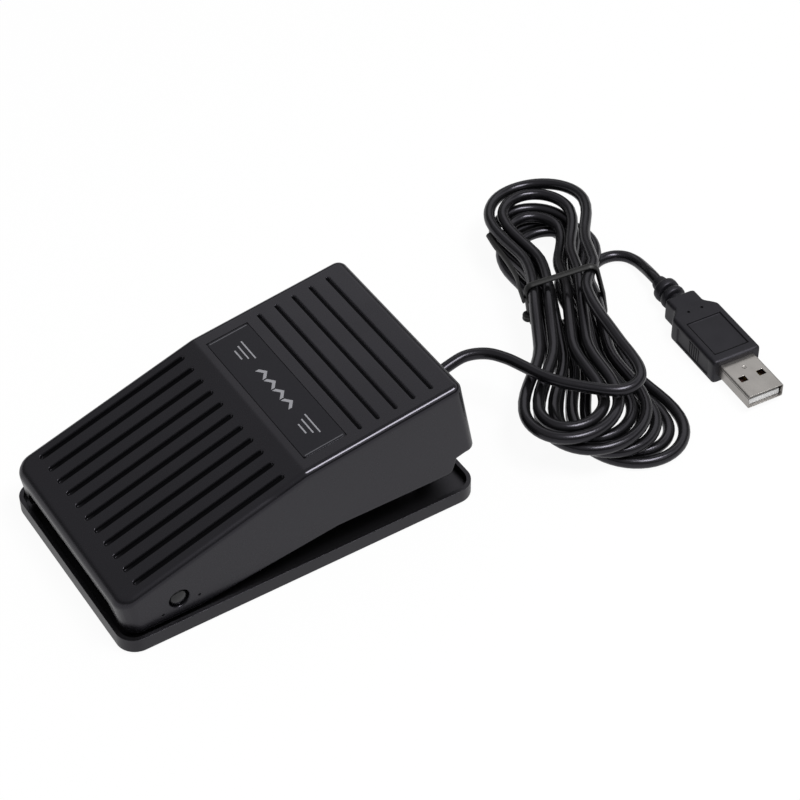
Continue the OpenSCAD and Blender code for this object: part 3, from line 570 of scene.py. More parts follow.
def jacket_finish(colours):
    """Soft black jacket of the lead: semi-gloss with a faint waviness from the drawing."""
    f = Finish("lead_jacket")
    skin = f.noise(0.6, 3, 0.6)
    bloom = f.noise(16, 3, 0.6)
    base = f.blend(bloom.ramp(0.4, 0.75), colours.jacket, (0.0065, 0.0063, 0.0068))
    return f.surface(base=base, rough=0.17 + bloom * 0.08 + skin * 0.05, ior=1.48, tint=COOL,
                     normal=f.bump(f.noise(7, 3, 0.5), 0.08, 0.3, f.bump(skin, 0.010, 0.3)))


def moulding_finish(colours):
    """Matt black overmoulding of the plug: leathery spark texture, a scribed panel and two small vents on top, with
    painted shade in the scribed line and the vents.
    """
    f = Finish("plug_moulding")
    x, y, z = f.split(f.moved(IN_PLUG))
    cloud = f.noise(6, 3)
    scribe = abs((abs(y) - 5.75).most(abs(x + 10.65) - 7.5)).ramp(0.26, 0.12)
    along, across = x + 22.6, abs(y) - 2.3
    vent = (along * along + across * across).ramp(0.30, 0.14)
    # Painted shade: the scribed line and the vents take the darker diffuse mix as well as a bump.
    sunk = scribe.most(vent) * z.ramp(3.5, 3.7)
    return f.surface(base=f.mottled(cloud, 0.35, 0.7, colours.moulding, 0.8), rough=0.40 + cloud * 0.12, ior=1.46,
                     tint=COOL, normal=f.bump(f.noise(0.34, 3, 0.6) - sunk * 4, 0.02, 0.4), matt_painted_shade=sunk * 0.85)


def nickel_finish(colours):
    """Plated shell of the plug: drawn along its length, and darker along the folded seam on each side."""
    f = Finish("plug_nickel")
    x, y, z = f.split(f.moved(IN_PLUG))
    drawn = f.noise(0.5, 3, 0.6, f.moved(IN_PLUG, (0.06, 1, 1)))
    haze = f.noise(5, 3, 0.55)
    seam = abs(z - 1.42).ramp(0.16, 0.06) * abs(y).ramp(5.75, 5.85) * x.ramp(0.2, 0.5)
    base = f.blend(seam * 0.9, f.mottled(haze, 0.3, 0.75, colours.nickel, 0.9), (0.05, 0.045, 0.04))
    return f.surface(base=base, metal=1.0, rough=0.27 + drawn * 0.10 + haze * 0.06,
                     normal=f.bump(drawn * 0.06 + haze * 0.3, 0.03, 0.5))


def steel_finish(name, colour, rough):
    """Plated steel with fine turning marks."""
    f = Finish(name)
    fine = f.noise(0.2, 3, 0.6)
    haze = f.noise(2.2, 3)
    return f.surface(base=f.mottled(haze, 0.3, 0.8, colour, 0.8), metal=1.0,
                     rough=rough + fine * 0.12 + haze * 0.06, normal=f.bump(fine, 0.01, 0.4))


def resin_finish(name, colour, rough, grain=0.35, shaded_windows=False):
    """Plain moulded resin with a fine grain; shaded_windows paints shade, a dark red-brown patch, on the tongue under
    the shell's windows.
    """
    f = Finish(name)
    cloud = f.noise(5, 2)
    base = f.mottled(cloud, 0.3, 0.75, colour, 0.8)
    if shaded_windows:
        x, _, z = f.split(f.moved(IN_PLUG))
        # Painted shade: the tongue's top under the windows is dark red-brown, standing in for the shade seen through
        # them.
        window_shade = x.ramp(4.2, 4.4) * x.ramp(7.9, 7.7) * z.ramp(-0.4, -0.3)
        base = f.blend(window_shade, base, (0.060, 0.030, 0.024))
    return f.surface(base=base, rough=rough + cloud * 0.1, ior=1.5, normal=f.bump(f.noise(grain, 3, 0.6), 0.008, 0.2))


def board_finish():
    """Green solder mask over copper tracks, bare laminate on its edges."""
    f = Finish("board_laminate")
    z = f.split(f.place)[2]
    track = f.add("ShaderNodeTexBrick", {"offset": 0.37}, {
        "Vector": f.place, "Scale": 120.0, "Mortar Size": 0.03, "Brick Width": 0.9, "Row Height": 0.16}, 1)
    weave = f.noise(0.5, 2)
    base = f.blend(track * 0.7, (0.012, 0.085, 0.03), (0.03, 0.16, 0.055))
    base = f.blend(f.noise(8, 2) * 0.3, base, (0.008, 0.06, 0.022))
    base = f.blend((z - 6.6).least(7.0 - z).ramp(-0.7, -0.55), (0.25, 0.22, 0.12), base)
    return f.surface(base=base, rough=0.3 + weave * 0.1, ior=1.5, normal=f.bump(track + weave * 0.2, 0.03, 0.5))


def wire_finish():
    """Four wire colours, chosen by the strand's number."""
    f = Finish("wire_insulation")
    strand = f.add("ShaderNodeAttribute", {"attribute_name": "strand"}, None, 2)
    cloud = f.noise(2.5, 2)
    base = f.add("ShaderNodeValToRGB", None, {0: strand})
    ramp = base.socket.node.color_ramp
    ramp.interpolation = "CONSTANT"
    ramp.elements.new(0.25)
    ramp.elements.new(0.5)
    tones = ((0.42, 0.02, 0.015), (0.62, 0.62, 0.6), (0.03, 0.26, 0.06), (0.012, 0.012, 0.012))
    for k, (stop, tone) in enumerate(zip(ramp.elements, tones)):
        stop.position, stop.color = k / 4, as_colour(tone)
    base = f.blend(cloud * 0.25, base, (0.02, 0.02, 0.02))
    return f.surface(base=base, rough=0.38 + cloud * 0.1, ior=1.5, normal=f.bump(cloud, 0.03, 0.4))


class PEDAL_OT_stage(Operator):
    """Camera, lamp, sky and white floor"""

    bl_idname = "pedal.stage"
    bl_label = "Stage"

    def execute(self, context):
        scene = context.scene
        scene.view_settings.view_transform = "Standard"
        eye = Vector((410.2, -203.0, 469.4)) * MM
        target = Vector((-10.12, 56.95, 0.6)) * MM
        roll = math.radians(-0.817)
        way = (target - eye).normalized()
        level = way.cross(Vector((0, 0, 1))).normalized()
        steep = level.cross(way)
        right = level * math.cos(roll) + steep * math.sin(roll)
        up = steep * math.cos(roll) - level * math.sin(roll)
        data = bpy.data.cameras.new("View")
        data.sensor_width, data.lens = 36.0, 105.645
        data.clip_start, data.clip_end = 0.01, 20
        scene.camera = show("View", data)
        scene.camera.matrix_world = Matrix.Translation(eye) @ Matrix((right, up, -way)).transposed().to_4x4()
        data = bpy.data.lights.new("Overhead strip", "AREA")
        data.shape, data.size, data.size_y, data.energy = "RECTANGLE", 0.5, 0.3, 8.0
        place, aim = Vector((0.35, 0.25, 0.95)), Vector((0.0, 0.05, 0.02))
        turn = (aim - place).to_track_quat("-Z", "Y").to_matrix().to_4x4()
        show("Overhead strip", data).matrix_world = Matrix.Translation(place) @ turn
        self.sky(scene)
        self.floor()
        return DONE

    def sky(self, scene):
        """White to the camera, a soft grey light, and a sky with a bright low rim and a bright rear in mirrors."""
        scene.world = bpy.data.worlds.new("Sky")
        scene.world.use_nodes = True
        net = Net(scene.world.node_tree)
        seen, glossy = net.rays()
        _, back, height = net.parts(net.add("ShaderNodeTexCoord", output="Generated"))
        behind = back.ramp(0.0, 0.16) * (0.86 - height.ramp(0.732, 0.775) * 0.86)
        mirrored = 0.90 - height.ramp(0.02, 0.24) * 0.78 + height.ramp(0.45, 0.7) * (0.27 + behind)
        strength = (1 - seen - glossy).most(0) * 0.55 + glossy * mirrored + seen
        shader = net.add("ShaderNodeBackground", None, {"Color": (1, 1, 1, 1), "Strength": strength})
        net.add("ShaderNodeOutputWorld", None, {"Surface": shader})

    def floor(self):
        """White floor that keeps the shadow."""
        far = 6000
        shape = Shape()
        shape.add([(-far, -far, 0), (far, -far, 0), (far, far, 0), (-far, far, 0)], [[0, 1, 2, 3]])
        floor = shape.piece("Floor")
        material = bpy.data.materials.new("White sweep")
        material.use_nodes = True
        net = Net(material.node_tree)
        seen, glossy = net.rays()
        paint = net.add("ShaderNodeBsdfDiffuse", None, {"Color": (0.86, 0.86, 0.86, 1)})
        glow = net.add("ShaderNodeEmission", None, {"Color": (1, 1, 1, 1), "Strength": seen + glossy * 0.72})
        both = net.add("ShaderNodeMixShader", None, {0: seen.most(glossy) * 0.94, 1: paint, 2: glow})
        net.add("ShaderNodeOutputMaterial", None, {"Surface": both})
        floor.data.materials.append(material)


def in_hank(s, n, z):
    """A point given along the hank, across it and up."""
    return Vector((HANK[0] + s * math.cos(HANK_TURN) - n * math.sin(HANK_TURN),
                   HANK[1] + s * math.sin(HANK_TURN) + n * math.cos(HANK_TURN), z))


def hank_line(lead):
    """The hank's middle line: four layers of turns, wound in and out by turns, drawn in at the tie and fanned."""
    far_s, near_s = 24.5, 108.0
    far_half, waist_half, near_half = 15.5, 10.1, 16.6
    near_open, far_steps, far_opens = 82.0, (0.0, 3.5, 9.0, 0.5), (47.0, 50.0, 55.0, 49.0)
    layers, each, pitch = 4, lead.turns, lead.pitch / MM
    waist_pitch = pitch + 0.1
    far_fan, near_fan, fan_reach = (0.5, 2.0, -4.5, -4.0), (-9.5, 7.0), 16.0
    climb, drop, first = 0.09, 0.2, 1 / 24
    low, layer, room, reach = lead.diameter / MM / 2 + 0.05, 4.0, 1.35, 24.0
    phase = 0.25 * (near_s - WAIST) / (near_s - far_s)
    steps = 96

    def point(t):
        f = (t + phase) % 1.0
        number = min(layers - 1, math.floor(t / each))
        m = t - number * each if number % 2 == 0 else (number + 1) * each - t
        down = sum(ease((t - k * each + climb) / (2 * climb)) for k in range(1, layers))
        step, far_open, far_turn = (float(np.interp(down, range(layers), v)) for v in (far_steps, far_opens, far_fan))
        far = far_s + step
        wide_far, waist, wide_near = far_half - pitch * m, waist_half - waist_pitch * m, near_half - pitch * m
        # A turn is a run to the far end, the far bend, a run back and the near bend.
        leg, share = divmod(f * 4, 1)
        a = math.pi * share
        if leg == 1:
            s, n = far - wide_far * math.sin(a), wide_far * math.cos(a)
        elif leg == 3:
            s, n = near_s + wide_near * math.sin(a), -wide_near * math.cos(a)
        else:
            s = mix(near_s, far, share) if leg == 0 else mix(far, near_s, share)
            if s < far_open:
                n = mix(wide_far, waist, ease((s - far) / (far_open - far)))
            else:
                n = mix(waist, wide_near, ease((s - near_open) / (near_s - near_open)))
            n = n if leg == 0 else -n
        fan = mix(far_turn, mix(*near_fan, down / (layers - 1)), ease((s - WAIST) / (2 * fan_reach) + 0.5))
        z = low + layer * (layers - 1 - down) + layer * (1 - ease((t - first) / drop))
        z += room * ease(1 - abs(s - TIE) / reach)
        return in_hank(s, n + (s - WAIST) * math.tan(math.radians(fan)), z)

    return [point(i / steps) for i in range(layers * each * steps + 1)]


def strands_at_tie(line):
    """Where the lead's line passes through the tie's plane: (across, up) pairs."""
    along = [(p.x - HANK[0]) * math.cos(HANK_TURN) + (p.y - HANK[1]) * math.sin(HANK_TURN) - TIE for p in line]
    out = []
    for a, b, p, q in zip(along, along[1:], line, line[1:]):
        if a * b <= 0 and a != b:
            c = p.lerp(q, a / (a - b))
            # The free run and the plug lie beyond the hank.
            if c.x < 12:
                out.append(((c.y - HANK[1]) * math.cos(HANK_TURN) - (c.x - HANK[0]) * math.sin(HANK_TURN), c.z))
    return out


def hull(points):
    """Corners of the convex outline round points, counter-clockwise."""
    def half(order):
        out = []
        for p in order:
            while len(out) > 1 and (out[-1][0] - out[-2][0]) * (p[1] - out[-2][1]) <= \
                    (out[-1][1] - out[-2][1]) * (p[0] - out[-2][0]):
                out.pop()
            out.append(p)
        return out[:-1]
    return half(sorted(points)) + half(sorted(points)[::-1])


def lead_line(lead):
    """The whole lead's middle line, from the grommet to the plug's boot, in millimetres."""
    d = lead.diameter / MM
    hank = hank_line(lead)
    way_in = (hank[4] - hank[0]).normalized()
    way_out = (hank[-1] - hank[-5]).normalized()
    start = EXIT + EXIT_WAY * EXIT_REACH
    first = [(-0.6, 67.5, 16.2), (-0.4, 73.2, 17.3), (2.4, 78.4, 17.8), (7.4, 81.8, 18.1), (13, 84, 18.2),
             (18.4, 86, 18.2), (23, 88.4, 18.2), (26.8, 91.4, 18.1), (30.4, 94.9, 18), (34.1, 98.8, 18),
             (36, 102.2, 18), (36, 106, 18), (34.1, 109.4, 18), (30.7, 111.3, 18.1), (25.6, 112.4, 18.2),
             (19.8, 113, 18.5), (13.6, 113.8, 18.9), (7, 114.8, 19.1), (0.4, 116.4, 19.2), (-5.8, 119.2, 19.2)]
    last = [(-22.3, 131.4, 2.6), (-25, 134.5, 2.3), (-27.2, 138.2, 2.1), (-28.4, 142.1, 1.9), (-27.8, 146, 1.9),
            (-25.5, 148.9, 2), (-22, 150.2, 2.2), (-17.6, 150, 2.9)]
    plug_way = Vector((math.cos(PLUG_TURN), math.sin(PLUG_TURN), 0))
    end = PLUG + plug_way * BOOT_END
    head = spline([start, start + EXIT_WAY * d, *first, hank[0] - way_in * d, hank[0], hank[4]], 6)[:-6]
    tail = spline([hank[-5], hank[-1], hank[-1] + way_out * d, *last, end - plug_way * d, end], 6)[6:]
    return head[:-1] + hank + tail[1:]


class PEDAL_OT_lead(Operator):
    """Lead on one smooth line: free run, tied hank and tail"""

    bl_idname = "pedal.lead"
    bl_label = "Lead"

    def execute(self, context):
        lead = context.scene.pedal_lead
        line = lead_line(lead)
        data = bpy.data.curves.new("lead", "CURVE")
        data.dimensions = "3D"
        data.bevel_depth = lead.diameter / 2
        data.bevel_resolution = 5
        data.use_fill_caps = True
        run = data.splines.new("POLY")
        run.points.add(len(line) - 1)
        for place, p in zip(run.points, line):
            place.co = (*(p * MM), 1)
        run.use_smooth = True
        piece = show("lead", data)
        data.materials.append(jacket_finish(context.scene.pedal_colours))
        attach(piece, "base")
        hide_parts("cable_lead", "cable_hank", "cable_tail")
        return DONE


class PEDAL_OT_lead_facts(Operator):
    """Works out the lead's length along its line"""

    bl_idname = "pedal.lead_facts"
    bl_label = "Lead facts"

    def execute(self, context):
        lead = context.scene.pedal_lead
        line = lead_line(lead)
        length = sum((b - a).length for a, b in zip(line, line[1:])) * MM
        return DONE


def cover_top(u):
    """Height of the two top panels over the hinge at u, with a slightly soft ridge."""
    soft = 0.5
    d = np.asarray(u, float) - RIDGE_U
    bend = np.where(d < -soft, d, np.where(d > soft, 0.0, -(soft - d) ** 2 / (4 * soft)))
    return PANEL_V + FRONT_SLOPE * bend


def groove_share(distance):
    """Depth share of a groove at a signed distance from its edge: a soft lip, a steep wall and a flat floor."""
    t = np.clip((0.10 - distance) / 0.50, 0, 1)
    return t * t * (3 - 2 * t)


def hem_line(u):
    """Lower edge of the side walls at u: relieved in front, straight, then the skirt."""
    us = [-30.0, -FRONT_U, 5.0, 48.0, 82.6, 84.0, 84.8, 86.2, 120.0]
    front = (FRONT_U + 5.0) * math.tan(TILT) - EDGE_V
    vs = [front, front, -EDGE_V, -EDGE_V, -EDGE_V - 5, -EDGE_V - 5, -EDGE_V - 3.6, -EDGE_V, -EDGE_V]
    return float(np.mean(np.interp(u + np.linspace(-0.55, 0.55, 9), us, vs)))


def flat_edges(sizes):
    """Where the rounds of the sides, the front and the rear begin on the top panels."""
    lean = math.sin(math.atan(FRONT_SLOPE))
    return (COVER_HALF - sizes.top_round / MM, sizes.front_round / MM * (1 - lean) - FRONT_U,
            REAR_TOP_U - sizes.top_round / MM)


def cover_lines(sizes):
    """Grid lines that follow every groove edge, the label's place and the corners, and the grooves' middles."""
    front = [(i - (sizes.front_grooves - 1) / 2) * FRONT_PITCH for i in range(sizes.front_grooves)]
    rear = [REAR_FIRST + i * REAR_PITCH for i in range(sizes.rear_grooves)]
    side, head, tail = flat_edges(sizes)
    both = [0.0, EXIT_HOLE_R - 0.01, EXIT_HOLE_R + 0.01, 25.9, 26.45, 26.6, 26.62]
    both += [LIP_HALF + a for a in (0, 1.0, LIP_FLARE - 0.02, LIP_FLARE)]
    both += [27.4 - a for a in (-0.1, 0.0, 0.1, 0.2, 0.32, 0.45, 0.6, 0.9)]
    us = [0.0, 5.0, 12.0, 20.0, 28.0, 48.0, 52.0, 60.0, 82.6, 83.3, 84.0, 84.8, 85.5, 86.2]
    us += [44.88, 44.9, 45.4, 46.0, 57.2, 57.7, 58.2, 58.22]
    us += [RIDGE_U + a for a in (-0.9, -0.5, -0.25, 0, 0.25, 0.5, 0.9)]
    steps = np.linspace(0, 1, 8)
    for radius in (FRONT_R, REAR_R):
        both += [mix(COVER_HALF - radius, side, k) for k in steps]
    # The foremost of these moves to the flat's own edge below.
    us += [mix(FRONT_R - FRONT_U, head, k) for k in steps[:-1]]
    us += [mix(REAR_TOP_U - REAR_R, tail, k) for k in steps]
    near = (0, 0.3, 0.5, 0.62, 0.7, 0.78, 0.86, 0.94, 1.02, 1.1, 1.3)
    xs = [s * a for a in both for s in (-1, 1)]
    xs += [x + s * a for x in front for a in near for s in (-1, 1)]
    us += [u + s * (a - FRONT_HALF + REAR_HALF) for u in rear for a in near for s in (-1, 1)]
    for end, way in zip(FRONT_ENDS, (1, -1)):
        us += [end + way * a for a in (-0.3, -0.1, 0.0, 0.1, 0.2, 0.32, 0.45, 0.6, 0.8, 1.1, 1.6)]

    def spaced(values, low, high):
        out = []
        for v in sorted(v for v in values if low <= v <= high):
            if not out or v - out[-1] > 0.015:
                out.append(v)
        out[0], out[-1] = low, high
        return np.array(out)
    return spaced(xs, -side, side), spaced(us, head, tail), front, rear


def cover_shell(sizes):
    """Skin of the cover in its own frame: the grooved top, the walls all round and the inner ceiling."""
    xs, us, front, rear = cover_lines(sizes)
    side, head, tail = flat_edges(sizes)
    gx, gu = np.meshgrid(xs, us, indexing="ij")
    px, pu = gx.copy(), gu.copy()
    normal = np.zeros((*gx.shape, 2))
    # The four corners of the grid bend round to follow the plan's corners.
    for sx in (-1, 1):
        for end, plan, middle in ((-1, FRONT_R, FRONT_R - FRONT_U), (1, REAR_R, REAR_TOP_U - REAR_R)):
            axis = COVER_HALF - plan
            across, along = side - axis, abs((head if end < 0 else tail) - middle)
            inside = (sx * gx >= axis - 1e-9) & (end * (gu - middle) >= -1e-9)
            p = np.clip((sx * gx - axis) / across, 0, 1)
            q = np.clip(end * (gu - middle) / along, 0, 1)
            a = p * np.sqrt(1 - q * q / 2)
            b = q * np.sqrt(1 - p * p / 2)
            rho, phi = np.hypot(a, b), np.arctan2(b, a)
            radius = rho * (across + (along - across) * np.sin(phi))
            px[inside] = (sx * (axis + radius * np.cos(phi)))[inside]
            pu[inside] = (middle + end * radius * np.sin(phi))[inside]
            normal[inside] = np.stack([sx * np.cos(phi), end * np.sin(phi)], -1)[inside]
    share = np.zeros_like(px)
    low, high = FRONT_ENDS[0] + FRONT_HALF, FRONT_ENDS[1] - FRONT_HALF
    for x in front:
        share = np.maximum(share, groove_share(np.hypot(px - x, pu - np.clip(pu, low, high)) - FRONT_HALF))
    for u in rear:
        off = np.hypot(px - np.clip(px, -REAR_REACH, REAR_REACH), pu - u)
        share = np.maximum(share, groove_share(off - REAR_HALF))
    plate = (np.abs(px) < RECESS_HALF) & (pu > RECESS_LOW) & (pu < RECESS_HIGH)
    height = cover_top(pu) - sizes.groove_depth / MM * share - LABEL_T * plate
    nx, nu = gx.shape
    grid = np.arange(nx * nu).reshape(nx, nu)
    faces = np.stack([grid[:-1, :-1], grid[1:, :-1], grid[1:, 1:], grid[:-1, 1:]], -1).reshape(-1, 4)
    shape = Shape()
    shape.add(np.stack([px, pu, height], -1).reshape(-1, 3), faces.tolist())
    loop = [(i, 0) for i in range(nx)] + [(nx - 1, j) for j in range(1, nu)]
    loop += [(i, nu - 1) for i in range(nx - 2, -1, -1)] + [(0, j) for j in range(nu - 2, 0, -1)]
    columns = []
    for i, j in loop:
        n = normal[i, j]
        if not n.any():
            ends = j in (0, nu - 1) and 0 < i < nx - 1
            n = np.array([0.0, -1.0 if j == 0 else 1.0] if ends else [math.copysign(1.0, px[i, j]), 0.0])
        columns.append(wall_column(px[i, j], pu[i, j], n, sizes))
    count = len(loop)
    ids = [int(grid[at]) for at in loop]
    for ring in zip(*columns):
        new = list(range(len(shape.points), len(shape.points) + count))
        shape.add(ring, [])
        shape.faces += [[ids[k], new[k], new[(k + 1) % count], ids[(k + 1) % count]] for k in range(count)]
        ids = new
    # The inner ceiling is one face to each panel, split at the ridge.
    right, left = (min(span, key=lambda k: abs(pu[loop[k]] - RIDGE_U))
                   for span in (range(nx, nx + nu - 1), range(count - nu + 2, count)))
    shape.faces += [ids[left:] + ids[:right + 1], ids[right:left + 1]]
    return shape


def wall_column(x, u, n, sizes):
    """Points of one wall column: round the top edge, down the outside, under the hem and up the inside."""
    wall, hem = sizes.wall / MM, sizes.hem / MM
    r = sizes.top_round / MM + max(0.0, -n[1]) * (sizes.front_round - sizes.top_round) / MM
    g = FRONT_SLOPE * n[1] if u < RIDGE_U else 0.0
    root = math.hypot(1, g)
    top = float(cover_top(u))
    mid_out, mid_v = r * g / root, top - r / root
    first = math.atan2(1, -g)
    edge = mid_out + r
    low = hem_line(u + edge * n[1])
    if n[1] > 0.999 and abs(x) < EXIT_HOLE_R:
        low = math.sqrt(EXIT_HOLE_R ** 2 - x ** 2) - 2.0
    lean = REAR_LEAN if n[1] > 1e-6 else 0.0
    beyond = abs(x) - LIP_HALF
    step, lip = 0.0, low + 2.0
    if n[1] < -0.999 and beyond < LIP_FLARE - 0.01:
        step = LIP_STEP
        lip = LIP_V - max(0.0, beyond) / LIP_FLARE * (LIP_V + LIP_FLARE / 2)

    def at(out, v):
        return (x + n[0] * out, u + n[1] * out + lean * max(0.0, LEAN_V - v), v)

    turns = [first * (1 - k / 10) for k in range(1, 11)]
    points = [at(mid_out + r * math.cos(a), mid_v + r * math.sin(a)) for a in turns]
    lip_top = lip + (hem if step else 0.0)
    points += [at(edge, mix(mid_v, lip_top, k / 5)) for k in (0.3, 1, 2, 3, 4, 4.7, 5)]
    quarter = [QUARTER * k / 4 for k in range(5)]
    points += [at(edge - min(step, hem) * (1 - math.cos(a)), mix(lip_top, lip, math.sin(a))) for a in quarter[1:]]
    edge -= step
    points += [at(edge + min(step, 0.15), lip), at(edge, lip - 0.15), at(edge, lip - (lip - low - hem) * 0.6)]
    points += [at(edge - hem * (1 - math.cos(a)), low + hem * (1 - math.sin(a))) for a in quarter]
    edge -= wall
    return points + [at(edge + 0.25, low), at(edge, low + 0.25), at(edge, top - wall - 0.5), at(edge - 0.4, top - wall)]


def hinge_recesses():
    """The round recess, the pin's bore and two small dimples in each side wall."""
    cut = Shape()
    for side in (-1, 1):
        turn = Matrix.Rotation(side * QUARTER, 4, "Y")
        cut.lathe([(0, 34), (3.25, 34), (3.25, 31.8), (3.05, 31.72), (2.94, 31.58), (2.9, 31.4), (2.9, 30.25),
                   (2.75, 30.1), (2.05, 30.1), (2.05, 26.5), (0, 26.5)], turn, 64)
        for u in (-5.5, 5.5):
            cut.lathe([(0, 33), (0.5, 33), (0.5, 31.8), (0.4, 31.74), (0.36, 31.5), (0, 31.45)],
                      Matrix.Translation((0, u, -2.5)) @ turn, 20)
    return cut


def under_cover():
    """Shutter blade, stop ledges and spring seat under the cover."""
    shape = Shape()
    low = (BOARD_TOP + 10 - 1.3 - HINGE.z - 39.5 * math.sin(TILT)) / math.cos(TILT)
    shape.box((11.4, 36.5, low), (12.6, 42.5, 16.6), 0.25, IN_COVER)
    for x in (-19, 19):
        shape.box((x - 4, REAR_U - 5.6, 0), (x + 4, REAR_U - 1.6, 2), 0.3, IN_COVER)
    shape.lathe([(0, -3), (3.1, -3), (3.5, -2.6), (3.5, 0), (5.7, 0), (6, 0.3), (6, 3.4), (0, 3.4)],
                Matrix.Translation((0, SPRING_Y, SPRING_TOP)))
    return shape


class PEDAL_OT_cover(Operator):
    """Tilting cover with its grooves, label recess, skirts, hinge recesses and inner blades"""

    bl_idname = "pedal.cover"
    bl_label = "Cover"

    def execute(self, context):
        sizes = context.scene.pedal_cover
        piece = carve(cover_shell(sizes).piece("cover_piece"), hinge_recesses())
        piece.data.transform(in_metres(IN_COVER))
        merged = bmesh.new()
        merged.from_mesh(piece.data)
        merged.from_mesh(under_cover().mesh("cover_inner"))
        merged.to_mesh(piece.data)
        merged.free()
        dress(smooth(piece, 38.0), cover_finish(context.scene.pedal_colours, sizes), "pedal", "pedal_cover")
        return DONE


class PEDAL_OT_label(Operator):
    """Label film that lies in the cover's recess"""

    bl_idname = "pedal.label"
    bl_label = "Label"

    def execute(self, context):
        rings = []
        for inset, v in ((0, -LABEL_T), (0, -0.10), (0.03, -0.04), (0.09, -0.01), (0.16, 0.0)):
            ring = []
            for k, (sx, su) in enumerate(((1, 1), (-1, 1), (-1, -1), (1, -1))):
                for a in (math.radians(90 * k + 15 * j) for j in range(7)):
                    ring.append((sx * (LABEL_L - LABEL_R) + (LABEL_R - inset) * math.cos(a),
                                 su * (LABEL_W - LABEL_R) + (LABEL_R - inset) * math.sin(a), v))
            rings.append(ring)
        shape = Shape()
        shape.rings(rings, ON_LABEL)
        piece = shape.piece("label_piece", 50.0)
        back = ON_LABEL.inverted()
        plan = piece.data.uv_layers.new(name="LabelPlan")
        for corner, loop in zip(plan.data, piece.data.loops):
            corner.uv = (back @ (piece.data.vertices[loop.vertex_index].co / MM)).xy * MM
        dress(piece, label_finish(), "pedal", "label_plate")
        return DONE


class PEDAL_OT_tray(Operator):
    """Shallow tray with a rounded rim, and the clamp that holds the lead in it"""

    bl_idname = "pedal.tray"
    bl_label = "Tray"

    def execute(self, context):
        finish = tray_finish(context.scene.pedal_colours)

        def rim(a, b):
            """Whether an edge runs level along the top or the foot of the outer wall."""
            return abs(a.z - b.z) < 0.02 and all(
                min(abs(p.z - 5.1), abs(p.z - 0.6)) < 0.02 and
                (abs(p.x) > 32.0 or abs(p.y) > 52.5 or (abs(p.x) > 27 and abs(p.y) > 48)) for p in (a, b))
        dress(rounded_copy("base_tray", 0.18, rim, 0.42), finish, "base", "base_tray")
        dress(rounded_copy("cable_clamp", 0.3), finish, "base", "cable_clamp")
        return DONE


class PEDAL_OT_pins(Operator):
    """Two hinge pins with domed heads"""

    bl_idname = "pedal.pins"
    bl_label = "Hinge pins"

    def execute(self, context):
        finish = resin_finish("pin_plastic", (0.008, 0.008, 0.009), 0.12, 0.3)
        profile = [(0, 24.8), (1.7, 24.8), (2.0, 25.1), (2.0, 30.4), (2.5, 30.4), (2.6, 30.5), (2.58, 30.8)]
        dome = [QUARTER * k / 10 for k in range(10, -1, -1)]
        profile += [(2.45 * math.sin(a), 30.9 + 0.9 * math.cos(a)) for a in dome]
        for side, word in ((-1, "left"), (1, "right")):
            shape = Shape()
            shape.lathe(profile, Matrix.Translation(HINGE) @ Matrix.Rotation(side * QUARTER, 4, "Y"), 64)
            dress(shape.piece(f"pin_{word}_piece", 40.0), finish, "base", f"pivot_pin_{word}")
        return DONE


class PEDAL_OT_feet(Operator):
    """Four rubber feet set in the tray's underside"""

    bl_idname = "pedal.feet"
    bl_label = "Rubber feet"

    def execute(self, context):
        shape = Shape()
        shape.lathe([(0, 0), (3.6, 0), (4.05, 0.1), (4.3, 0.35), (4.4, 0.6), (4.4, 1.08), (0, 1.08)], Matrix())
        finish = rubber_finish("foot_rubber", (0.012, 0.012, 0.012))
        piece = repeat_on_grid("feet_piece", shape.piece("foot", 40.0), (50, 92), (0, 0, 0), (2, 2), finish)
        dress(piece, finish, "base", "rubber_feet")
        return DONE


